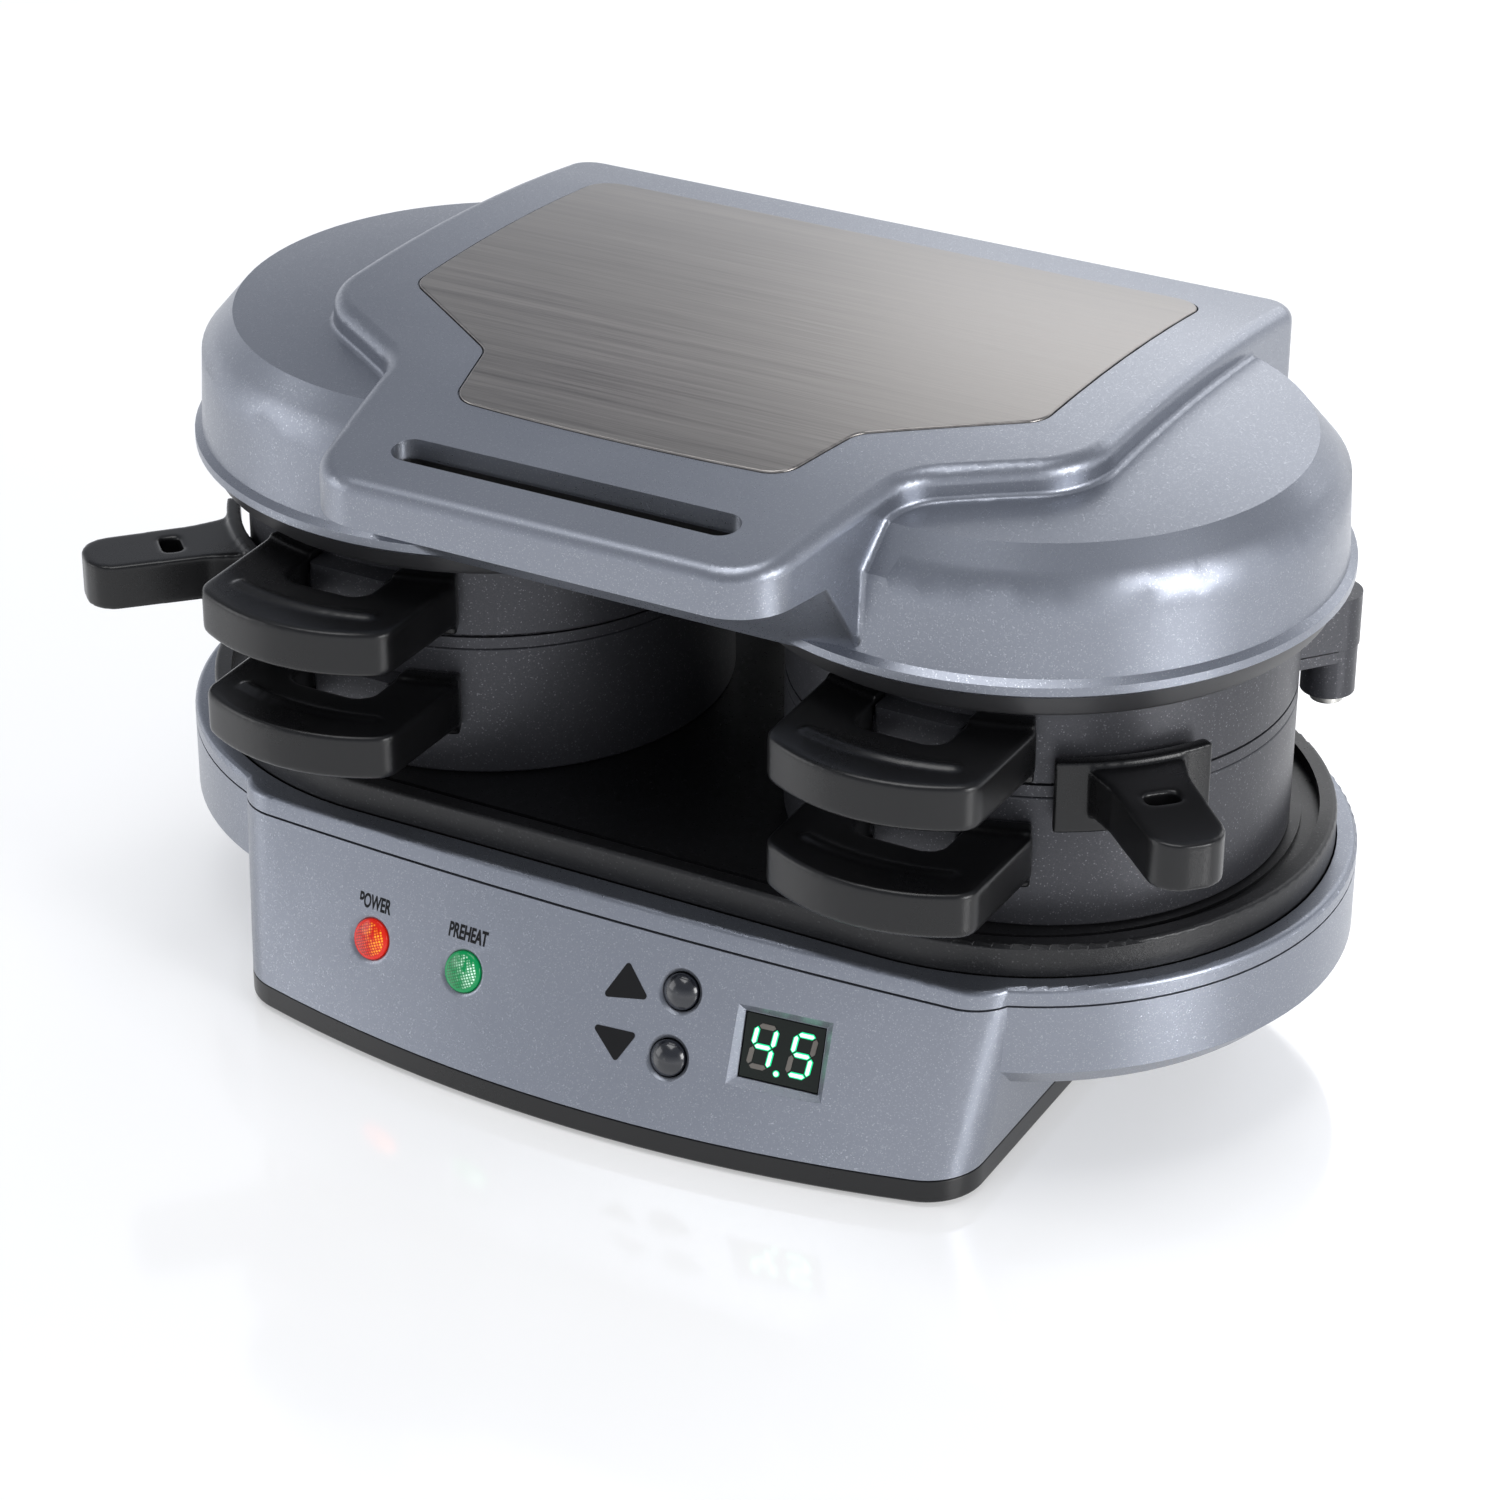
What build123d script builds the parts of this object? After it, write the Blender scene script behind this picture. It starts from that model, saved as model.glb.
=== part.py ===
from build123d import *
import math
import os

os.makedirs("parts", exist_ok=True)

# Millimetres. +X is the user's right, -Y faces the user, +Z is up, z = 0 is the worktop.

# Two cooking stations, side by side
ring_x = 71.0
ring_y = 8.0
ring_outer = 57.0
ring_inner = 53.5
lower_z = 57.0
lower_top = 88.6
plate_z = 88.8
plate_top = 91.5
upper_z = 91.7
upper_top = 111.7

# Hinge pin along X at the rear, shared by every leaf
hinge_y = 87.0
hinge_z = 66.0
pin_r = 2.5
pin_hole = 2.56
knuckle_r = 6.5

# Base
base_low = 7.0
base_split = 46.4
base_top = 51.0
end_x = 67.0
end_y = 9.0
end_r = 76.0
tray_r = 71.0
tray_floor = 56.8
tray_rim = 58.6
wall = 3.0
rear_y = 92.0

# Front panel: an arc at the bottom leaning back to a flatter arc at the top
bottom_half = 93.5
bottom_side_y = -73.4
bottom_mid_y = -87.0
top_half = 99.0
top_side_y = -65.6
top_mid_y = -68.4

# Lid
dome_x = 67.5
lid_z = 112.0
lip_z = 118.2
crown_r = 568.0
crown_y = -2.0
crown_z = 159.3
handle_under = 141.5
cove_r = 1.4


def save(part, label):
    part.label = label
    export_step(part, f"parts/{label}.step")


def pill(radius, half, cy):
    """Closed outline of two half circles joined by straight lines."""
    with BuildLine() as line:
        Line((-half, cy - radius), (half, cy - radius))
        ThreePointArc((half, cy - radius), (half + radius, cy), (half, cy + radius))
        Line((half, cy + radius), (-half, cy + radius))
        ThreePointArc((-half, cy + radius), (-half - radius, cy), (-half, cy - radius))
    return line.line


def pedestal_outline(half, side_y, mid_y, back_y, corner, inset):
    """Rounded outline with a bowed front, moved inwards by inset."""
    with BuildSketch() as sketch:
        with BuildLine():
            ThreePointArc((-half + inset, side_y + inset), (0, mid_y + inset), (half - inset, side_y + inset))
            Line((half - inset, side_y + inset), (half - inset, back_y - inset))
            Line((half - inset, back_y - inset), (-half + inset, back_y - inset))
            Line((-half + inset, back_y - inset), (-half + inset, side_y + inset))
        make_face()
        fillet(sketch.vertices(), corner - inset)
    return sketch.sketch


def arc_y(half, side_y, mid_y, x):
    """y of the circle through (-half, side_y), (0, mid_y), (half, side_y) at x."""
    sag = side_y - mid_y
    radius = (half * half + sag * sag) / (2 * sag)
    return mid_y + radius - math.sqrt(radius * radius - x * x)


def panel_y(x, z):
    share = (z - base_low) / (base_top - base_low)
    low = arc_y(bottom_half, bottom_side_y, bottom_mid_y, x)
    high = arc_y(top_half, top_side_y, top_mid_y, x)
    return low + (high - low) * share


def panel_plane(x, z):
    """Plane on the front panel at (x, z), its Z axis pointing out of the panel."""
    step = 0.5
    slope_x = (panel_y(x + step, z) - panel_y(x - step, z)) / (2 * step)
    slope_z = (panel_y(x, z + step) - panel_y(x, z - step)) / (2 * step)
    return Plane(origin=(x, panel_y(x, z), z), x_dir=(1, slope_x, 0), z_dir=(slope_x, -1, slope_z))


# ------------------------------------------------------------------ base
power_at = panel_plane(-54.9, 27.2)
preheat_at = panel_plane(-29.3, 27.2)
up_at = panel_plane(24.8, 36.2)
down_at = panel_plane(24.6, 22.2)
display_at = panel_plane(50.0, 28.6)
lens_r = 4.7
button_r = 4.1

with BuildPart() as base_housing:
    with BuildSketch(Plane.XY.offset(base_low)):
        add(pedestal_outline(bottom_half, bottom_side_y, bottom_mid_y, rear_y, 14, 0))
    with BuildSketch(Plane.XY.offset(base_top)):
        add(pedestal_outline(top_half, top_side_y, top_mid_y, rear_y, 12, 0))
    loft(ruled=True)
    with BuildSketch(Plane.XY.offset(30)):
        make_face(pill(end_r, end_x, end_y))
    extrude(amount=base_top - 30)
    with BuildSketch(Plane.XY.offset(24)):
        make_face(pill(end_r - 6, end_x, end_y))
    with BuildSketch(Plane.XY.offset(30)):
        make_face(pill(end_r, end_x, end_y))
    loft(ruled=True)
    # inside space
    with BuildSketch(Plane.XY.offset(base_low)):
        add(pedestal_outline(bottom_half, bottom_side_y, bottom_mid_y, rear_y, 14, wall))
    with BuildSketch(Plane.XY.offset(base_top)):
        add(pedestal_outline(top_half, top_side_y, top_mid_y, rear_y, 12, wall))
    loft(ruled=True, mode=Mode.SUBTRACT)
    with BuildSketch(Plane.XY.offset(31)):
        make_face(pill(end_r - wall, end_x, end_y))
    extrude(amount=base_top - 31, mode=Mode.SUBTRACT)
    split(bisect_by=Plane.XY.offset(base_split), keep=Keep.BOTTOM)
    # lamp, button and display openings in the front panel
    for at in (power_at, preheat_at):
        with Locations(at):
            Cylinder(lens_r + 0.1, 16, mode=Mode.SUBTRACT)
            Cone(lens_r, lens_r + 2.4, 1.6, mode=Mode.SUBTRACT)
    for at in (up_at, down_at):
        with Locations(at):
            Cylinder(button_r + 0.35, 16, mode=Mode.SUBTRACT)
            Cone(button_r - 0.6, button_r + 3.0, 3.0, mode=Mode.SUBTRACT)
    with Locations(display_at):
        Box(19.0, 15.0, 16, mode=Mode.SUBTRACT)
    with BuildSketch(display_at.offset(-1.6)):
        Rectangle(19.2, 15.2)
    with BuildSketch(display_at.offset(1.0)):
        Rectangle(24.4, 20.4)
    loft(mode=Mode.SUBTRACT)
    # cord entry at the rear
    with Locations((62, rear_y, 22)):
        Cylinder(6.0, 12, rotation=(90, 0, 0), mode=Mode.SUBTRACT)
save(base_housing.part, "base_housing")

with BuildPart() as top_frame:
    with BuildSketch(Plane.XY.offset(base_low)):
        add(pedestal_outline(bottom_half, bottom_side_y, bottom_mid_y, rear_y, 14, 0))
    with BuildSketch(Plane.XY.offset(base_top)):
        add(pedestal_outline(top_half, top_side_y, top_mid_y, rear_y, 12, 0))
    loft(ruled=True)
    with BuildSketch(Plane.XY.offset(30)):
        make_face(pill(end_r, end_x, end_y))
    extrude(amount=base_top - 30)
    split(bisect_by=Plane.XY.offset(base_split + 0.5), keep=Keep.TOP)
    with BuildSketch(Plane.XY.offset(base_split)):
        make_face(pill(end_r - 1.6, end_x, end_y))
    extrude(amount=0.5)
    with BuildSketch(Plane.XY.offset(base_split)):
        make_face(pill(tray_r + 0.4, end_x, end_y))
    extrude(amount=20, mode=Mode.SUBTRACT)
    # the seat of the hinge bracket
    fillet(top_frame.faces().sort_by(Axis.Z)[-1].outer_wire().edges(), 1.6)
save(top_frame.part, "base_top_frame")

with BuildPart() as bottom_cover:
    with BuildSketch(Plane.XY.offset(1)):
        add(pedestal_outline(bottom_half, bottom_side_y, bottom_mid_y, rear_y, 14, 0))
    extrude(amount=5.7)
    fillet(bottom_cover.faces().sort_by(Axis.Z)[0].outer_wire().edges(), 0.8)
    with BuildSketch(Plane.XY.offset(4)):
        add(pedestal_outline(bottom_half, bottom_side_y, bottom_mid_y, rear_y, 14, 3))
    extrude(amount=3, mode=Mode.SUBTRACT)
    with BuildSketch(Plane.XY.offset(4)):
        add(pedestal_outline(bottom_half, bottom_side_y, bottom_mid_y, rear_y, 14, 4.2))
        add(pedestal_outline(bottom_half, bottom_side_y, bottom_mid_y, rear_y, 14, 6.5), mode=Mode.SUBTRACT)
    extrude(amount=4)
    with GridLocations(150, 130, 2, 2):
        with Locations((0, 4, 1)):
            Cylinder(8.1, 3.0, mode=Mode.SUBTRACT)
    with GridLocations(120, 100, 2, 2):
        with Locations((0, 4, 2.5)):
            Cylinder(4.2, 3.0, mode=Mode.SUBTRACT)
            Cylinder(1.9, 10.0, mode=Mode.SUBTRACT)
    with GridLocations(6, 12, 14, 2):
        with Locations((0, 4, 2.5)):
            Box(2.2, 9, 6, mode=Mode.SUBTRACT)
save(bottom_cover.part, "bottom_cover")

with BuildPart() as feet:
    with GridLocations(150, 130, 2, 2):
        with Locations((0, 4, 1.25)):
            Cylinder(8.0, 2.5)
save(feet.part, "rubber_feet")

with BuildPart() as cover_screws:
    with GridLocations(120, 100, 2, 2):
        with Locations((0, 4, 2.6)):
            Cylinder(3.6, 2.4)
        with Locations((0, 4, 9.5)):
            Cylinder(1.7, 12.0)
    with GridLocations(120, 100, 2, 2):
        with Locations((0, 4, 1.4)):
            Box(0.9, 4.4, 1.6, mode=Mode.SUBTRACT)
            Box(4.4, 0.9, 1.6, mode=Mode.SUBTRACT)
save(cover_screws.part, "cover_screws")

with BuildPart() as tray:
    with BuildSketch(Plane.XY.offset(44)):
        make_face(pill(tray_r - 1.5, end_x, end_y))
    extrude(amount=tray_rim - 44)
    with BuildSketch(Plane.XY.offset(51.2)):
        make_face(pill(tray_r, end_x, end_y))
    extrude(amount=tray_rim - 51.2)
    fillet(tray.faces().sort_by(Axis.Z)[-1].edges(), 1.2)
    with BuildSketch(Plane.XY.offset(tray_floor)):
        make_face(pill(tray_r - 4.0, end_x, end_y))
    extrude(amount=5, mode=Mode.SUBTRACT)
    with BuildSketch(Plane.XY.offset(43)):
        make_face(pill(tray_r - 4.5, end_x, end_y))
    extrude(amount=10.8, mode=Mode.SUBTRACT)
    # a shallow channel just inside the rim
    with BuildSketch(Plane.XY.offset(tray_floor)):
        make_face(pill(tray_r - 4.0, end_x, end_y))
        make_face(pill(tray_r - 8.0, end_x, end_y), mode=Mode.SUBTRACT)
    extrude(amount=-1.0, mode=Mode.SUBTRACT)
    for side in (-1, 1):
        with Locations((side * ring_x, ring_y, 55)):
            Cylinder(50.0, 12, mode=Mode.SUBTRACT)
save(tray.part, "heating_tray")

for side, word in ((-1, "left"), (1, "right")):
    with BuildPart() as bottom_plate:
        with Locations((side * ring_x, ring_y, 53.4)):
            Cylinder(49.7, 6.8)
        with Locations((side * ring_x, ring_y, 57.7)):
            Cylinder(51.5, 1.8)
        fillet(bottom_plate.faces().sort_by(Axis.Z)[-1].edges(), 1.0)
    save(bottom_plate.part, f"{word}_bottom_plate")

    with BuildPart() as bottom_element:
        with Locations((side * ring_x, ring_y, 46.8)):
            Torus(36, 3.2)
        for dx in (-12, 12):
            with Locations((side * ring_x + dx, ring_y + 34, 42)):
                Cylinder(1.6, 9)
    save(bottom_element.part, f"{word}_bottom_element")

with BuildPart() as thermostats:
    for side in (-1, 1):
        with Locations((side * ring_x, ring_y, 46.8)):
            Cylinder(8.0, 6.4)
            Box(24, 7, 1.6)
save(thermostats.part, "thermostats")

for at, word in ((power_at, "power_lens"), (preheat_at, "preheat_lens")):
    with BuildPart() as lens:
        with Locations(at.offset(-1.5)):
            Cylinder(lens_r, 7)
        with Locations(at.offset(1.1 - 9.0)):
            Sphere(9.0, mode=Mode.INTERSECT)
        with Locations(at.offset(-4.2)):
            Cylinder(lens_r + 1.6, 1.6)
    save(lens.part, word)

for at, word in ((up_at, "up_button"), (down_at, "down_button")):
    with BuildPart() as button:
        with Locations(at.offset(-2)):
            Cylinder(button_r, 8)
        with Locations(at.offset(1.8 - 5.2)):
            Sphere(5.2, mode=Mode.INTERSECT)
        with Locations(at.offset(-4.2)):
            Cylinder(button_r, 3.2)
        with Locations(at.offset(-5.2)):
            Cylinder(button_r + 1.2, 1.6)
        with Locations(at.offset(-7.0)):
            Cylinder(1.8, 3.6)
    save(button.part, word)

board_at = Plane(origin=(0, -61.8, 29.5), x_dir=(1, 0, 0), z_dir=(0, -0.91, 0.415))
with BuildPart() as board:
    with Locations(board_at):
        Box(132, 34, 1.6)
        with Locations((-60, 12, 0), (-60, -12, 0), (60, 12, 0), (60, -12, 0)):
            Cylinder(1.6, 4, mode=Mode.SUBTRACT)
    with Locations(board_at.offset(-2.3)):
        with Locations((0, 0, 0)):
            Box(11, 11, 3.0)
        with Locations((-40, 0, 0)):
            Box(16, 12, 3.0)
save(board.part, "control_board")

# switches on the board, one under each button
with BuildPart() as switches:
    for at in (up_at, down_at):
        depth = (at.origin - board_at.origin).dot(board_at.z_dir) - 0.8
        with Locations(at.offset(-(8.8 + 1.5 + depth - 0.3) / 2)):
            Box(6, 6, depth - 0.3 - 10.3)
save(switches.part, "button_switches")

with BuildPart() as display:
    with Locations(display_at.offset(-5.8)):
        Box(18.6, 14.6, 8.0)
    with Locations(display_at.offset(-7.2)):
        Box(22.0, 17.6, 3.6)
save(display.part, "display_module")

with BuildPart() as gland:
    with Locations((62, rear_y - 1.5, 22)):
        Cylinder(5.8, 8.0, rotation=(90, 0, 0))
    with Locations((62, rear_y + 1.3, 22)):
        Cylinder(8.0, 2.4, rotation=(90, 0, 0))
    with Locations((62, rear_y, 22)):
        Cylinder(3.4, 20, rotation=(90, 0, 0), mode=Mode.SUBTRACT)
save(gland.part, "cord_gland")

with BuildPart() as bracket:
    with BuildSketch(Plane.YZ.offset(-97)) as bracket_side:
        with BuildLine():
            Polyline((81, 51), (91.6, 51), (92.8, 66), (81.2, 66), close=True)
        make_face()
        with Locations((hinge_y, hinge_z)):
            Circle(knuckle_r)
    extrude(amount=6)
    extrude(bracket_side.sketch.moved(Location((89, 0, 0))), amount=16)
    extrude(bracket_side.sketch.moved(Location((188, 0, 0))), amount=6)
    with Locations((0, 86.3, 52.5)):
        Box(194, 10.6, 3.0)
    with Locations((0, hinge_y, hinge_z)):
        Cylinder(pin_r, 300, rotation=(0, 90, 0), mode=Mode.SUBTRACT)
save(bracket.part, "hinge_bracket")

with BuildPart() as pin:
    with Locations((0, hinge_y, hinge_z)):
        Cylinder(pin_r, 198, rotation=(0, 90, 0))
    for side in (-1, 1):
        with Locations((side * 98.2, hinge_y, hinge_z)):
            Cylinder(4.0, 2.0, rotation=(0, 90, 0))
save(pin.part, "hinge_pin")


# ------------------------------------------------------------------ lid
def platform_outline(inset):
    """Raised middle of the lid: square rear, waisted sides, narrow front handle."""
    corners = [
        (-54, -94.8), (54, -94.8), (63.2, -45.1), (95.3, -24.4),
        (95.3, 92), (-95.3, 92), (-95.3, -24.4), (-63.2, -45.1),
    ]
    with BuildSketch() as sketch:
        with BuildLine():
            Polyline(*corners, close=True)
        make_face()
        points = sketch.vertices()
        fillet(points.filter_by_position(Axis.Y, -95, -94), 14)
        fillet(sketch.vertices().filter_by_position(Axis.Y, -45.2, -45.0), 14)
        fillet(sketch.vertices().filter_by_position(Axis.Y, -24.5, -24.3), 22)
        fillet(sketch.vertices().filter_by_position(Axis.Y, 91.9, 92.1), 8)
        if inset:
            offset(amount=-inset)
    return sketch.sketch


def steel_outline(grow):
    """Waisted inlay on the raised middle of the lid."""
    with BuildSketch() as sketch:
        with BuildLine():
            ThreePointArc((-40, -57), (0, -58.5), (40, -57))
            Polyline((40, -57), (45.5, -34.5), (78, -11.5), (79, 74), (-79, 74))
            Polyline((-79, 74), (-78, -11.5), (-45.5, -34.5), (-40, -57))
        make_face()
        fillet(sketch.vertices(), 7)
        if grow:
            offset(amount=grow)
    return sketch.sketch


def cove_edges(part):
    """Edges at the foot of the raised middle, where its side walls meet the domes."""
    outline = platform_outline(0).faces()[0].outer_wire()
    found = []
    for edge in part.edges():
        middle = edge @ 0.5
        crown = crown_z - crown_r + math.sqrt(crown_r**2 - (middle.Y - crown_y) ** 2)
        below_fillet = middle.Z < crown - 4.5
        on_outline = outline.distance_to(Vertex(middle.X, middle.Y, 0)) < 0.05
        upright = edge.geom_type == GeomType.LINE and abs((edge % 0.5).Z) > 0.95
        underside = abs(middle.Z - handle_under) < 0.1
        if on_outline and below_fillet and middle.Z > 119 and not underside:
            if not upright or middle.Z < 123:
                found.append(edge)
    return found


def crown_prism(outline, low, high):
    """The outline as a solid between two shells parallel to the crowned top."""
    with BuildPart() as prism:
        with BuildSketch(Plane.XY.offset(140)):
            add(outline)
        extrude(amount=40)
        with Locations((0, crown_y, crown_z - crown_r)):
            Cylinder(crown_r + high, 400, rotation=(0, 90, 0), mode=Mode.INTERSECT)
            Cylinder(crown_r + low, 400, rotation=(0, 90, 0), mode=Mode.SUBTRACT)
    return prism.part


with BuildPart() as platform:
    with BuildSketch(Plane.XY.offset(lip_z)):
        add(platform_outline(0))
    extrude(amount=50)
    with Locations((0, crown_y, crown_z - crown_r)):
        Cylinder(crown_r, 400, rotation=(0, 90, 0), mode=Mode.INTERSECT)
    fillet(platform.faces().filter_by(GeomType.CYLINDER).sort_by(SortBy.AREA)[-1].edges(), 3.8)
    # underside of the handle, sloping down to the body of the lid
    with BuildSketch(Plane.YZ.offset(-70)):
        with BuildLine():
            Polyline((-120, 100), (-57, 100), (-57, 117), (-59.5, 121), (-73, handle_under), (-120, handle_under), close=True)
        make_face()
    extrude(amount=140, mode=Mode.SUBTRACT)
    # finger slot across the handle
    with BuildSketch(Plane.XY.offset(130)):
        with Locations((0, -78.6)):
            SlotOverall(83, 8.6)
    extrude(amount=40, mode=Mode.SUBTRACT)
    # cheeks and rear wall that hang down over the hinge
    with BuildSketch(Plane.XY.offset(83)):
        add(platform_outline(0))
        with Locations((0, -23.5)):
            Rectangle(300, 200, mode=Mode.SUBTRACT)
    extrude(amount=36)
platform.part.label = "platform"

with BuildPart() as lid_shell:
    for side in (-1, 1):
        with BuildSketch(Plane(origin=(side * dome_x, ring_y, 0), x_dir=(1, 0, 0), z_dir=(0, -1, 0))) as profile:
            with BuildLine():
                Line((0, lip_z), (69.6, lip_z))
                Line((69.6, lip_z), (71.2, 119.4))
                Line((71.2, 119.4), (71.2, 121.4))
                Line((71.2, 121.4), (69.5, 122.6))
                Line((69.5, 122.6), (68.6, 140.9))
                Line((68.6, 140.9), (61.2, 149.7))
                ThreePointArc((61.2, 149.7), (31, 152.3), (0, 153.2))
                Line((0, 153.2), (0, lip_z))
            make_face()
            fillet(profile.vertices().filter_by_position(Axis.X, side * dome_x + 60, side * dome_x + 70), 1.2)
        revolve(axis=Axis((side * dome_x, ring_y, 0), (0, 0, 1)))
    add(platform.part)
    # small cove where the raised middle meets the domes
    fillet(cove_edges(lid_shell.part), cove_r)
    # inside space
    for side in (-1, 1):
        with BuildSketch(Plane(origin=(side * dome_x, ring_y, 0), x_dir=(1, 0, 0), z_dir=(0, -1, 0))):
            with BuildLine():
                Polyline((0, 117), (66.9, 117), (66.0, 139.8), (59.4, 147.0), (0, 149.8), close=True)
            make_face()
        revolve(axis=Axis((side * dome_x, ring_y, 0), (0, 0, 1)), mode=Mode.SUBTRACT)
    with Locations((0, 17, 133)):
        Box(176, 134, 32, mode=Mode.SUBTRACT)
    # open front and hollow back of the hinge cover
    with Locations((0, 74, 99)):
        Box(184, 30, 40, mode=Mode.SUBTRACT)
    # screw posts
    for x in (-14, 14):
        for y in (-34, 60):
            with Locations((x, y, 135.6)):
                Cylinder(4.0, 29)
            with Locations((x, y, 130)):
                Cylinder(1.6, 20, mode=Mode.SUBTRACT)
    # seat of the steel plate
    add(crown_prism(steel_outline(0.35), -1.0, 6), mode=Mode.SUBTRACT)
save(lid_shell.part, "lid_shell")

steel_plate = crown_prism(steel_outline(0), -1.0, 0.35)
steel_plate = steel_plate.fillet(0.5, steel_plate.faces().sort_by(Axis.Z)[-1].outer_wire().edges())
save(steel_plate, "lid_steel_plate")

with BuildPart() as lid_base:
    for side in (-1, 1):
        with BuildSketch(Plane(origin=(side * 68.5, ring_y, 0), x_dir=(1, 0, 0), z_dir=(0, -1, 0))):
            with BuildLine():
                Polyline((0, lid_z), (64.8, lid_z), (66.4, 113.4), (68.2, 118.0), (65.6, 118.0), (65.6, 121), (0, 121), close=True)
            make_face()
        revolve(axis=Axis((side * 68.5, ring_y, 0), (0, 0, 1)))
    with BuildSketch(Plane.XY.offset(lid_z)):
        with Locations((0, 18.2)):
            Rectangle(172, 130.4)
    extrude(amount=9)
    for side in (-1, 1):
        with Locations((side * ring_x, ring_y, 116)):
            Cylinder(52.0, 20, mode=Mode.SUBTRACT)
    for x in (-14, 14):
        for y in (-34, 60):
            with Locations((x, y, 116)):
                Cylinder(2.0, 20, mode=Mode.SUBTRACT)
            with Locations((x, y, 113)):
                Cylinder(3.8, 3.0, mode=Mode.SUBTRACT)
    # arms down to the hinge pin
    for x in (-42, 30):
        with BuildSketch(Plane.YZ.offset(x)):
            with BuildLine():
                Polyline((76, 113), (88.8, 113), (88.8, 82.6), (91, 80), (91, hinge_z), (82, hinge_z), (80, 92), (76, 104), close=True)
            make_face()
            with Locations((hinge_y, hinge_z)):
                Circle(knuckle_r)
                Circle(pin_hole, mode=Mode.SUBTRACT)
        extrude(amount=12)
save(lid_base.part, "lid_inner_plate")

with BuildPart() as lid_screws:
    for x in (-14, 14):
        for y in (-34, 60):
            with Locations((x, y, 113.3)):
                Cylinder(3.4, 2.2)
            with Locations((x, y, 125)):
                Cylinder(1.5, 22)
            with Locations((x, y, 112.4)):
                Box(0.9, 4.2, 1.4, mode=Mode.SUBTRACT)
                Box(4.2, 0.9, 1.4, mode=Mode.SUBTRACT)
save(lid_screws.part, "lid_screws")

for side, word in ((-1, "left"), (1, "right")):
    with BuildPart() as top_plate:
        with Locations((side * ring_x, ring_y, 115.5)):
            Cylinder(51.8, 7.0)
        fillet(top_plate.faces().sort_by(Axis.Z)[0].edges(), 1.2)
    save(top_plate.part, f"{word}_top_plate")

    with BuildPart() as top_element:
        with Locations((side * ring_x, ring_y, 122.25)):
            Torus(36, 3.2)
        for dx in (-12, 12):
            with Locations((side * ring_x + dx, ring_y + 34, 127)):
                Cylinder(1.6, 9)
    save(top_element.part, f"{word}_top_element")


# ------------------------------------------------------------------ rings
def polar(radius, degrees):
    angle = math.radians(degrees)
    return radius * math.cos(angle), radius * math.sin(angle)


def ring_section(low, high):
    """Wall of a cooking ring, thickened at both rims."""
    with BuildSketch(Plane.XZ) as sketch:
        with BuildLine():
            Polyline(
                (ring_inner, low), (ring_outer, low), (ring_outer, high), (ring_inner, high),
                close=True,
            )
        make_face()
        fillet(sketch.vertices(), 0.6)
    return sketch.sketch


pivot_r = 66.5
pivot_angle = 38.0
lever_angle = -46.0
boss_half = 10.3
tenon_half = 18.0
tenon_thick = 3.6
screw_x = 14.6
screw_y = -58.9
flange_outer = 61.8


def ring_body(low, high, boss_low, boss_high):
    """A plain ring about the Z axis with the boss that carries its handle."""
    with BuildPart() as body:
        add(ring_section(low, high))
        revolve(axis=Axis.Z)
        with BuildSketch(Plane.XY.offset(boss_low)):
            with Locations((0, -58)):
                Rectangle(2 * boss_half, 9)
            Circle(55, mode=Mode.SUBTRACT)
        extrude(amount=boss_high - boss_low)
        fillet(body.edges().filter_by(Axis.Z).filter_by_position(Axis.Y, -63, -62), 1.0)
        # tenons that the arms of the handle are screwed to
        with BuildSketch(Plane.XY.offset((boss_low + boss_high) / 2 - tenon_thick / 2)):
            with Locations((0, -57.6)):
                Rectangle(2 * tenon_half, 7.2)
            Circle(55, mode=Mode.SUBTRACT)
        extrude(amount=tenon_thick)
        for dx in (-screw_x, screw_x):
            with Locations((dx, screw_y, boss_low)):
                Cylinder(1.4, 30, mode=Mode.SUBTRACT)
    return body.part


def hinge_lug(outline, start, width, side):
    with BuildPart() as lug:
        with BuildSketch(Plane.YZ.offset(start)):
            with BuildLine():
                Polyline(*outline, close=True)
            make_face()
            with Locations((hinge_y, hinge_z)):
                Circle(knuckle_r)
        extrude(amount=width)
        with Locations((start + width / 2, hinge_y, hinge_z)):
            Cylinder(pin_hole, 4 * width, rotation=(0, 90, 0), mode=Mode.SUBTRACT)
        with Locations((side * ring_x, ring_y, 90)):
            Cylinder(ring_outer - 1.5, 100, mode=Mode.SUBTRACT)
    return lug.part


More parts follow.
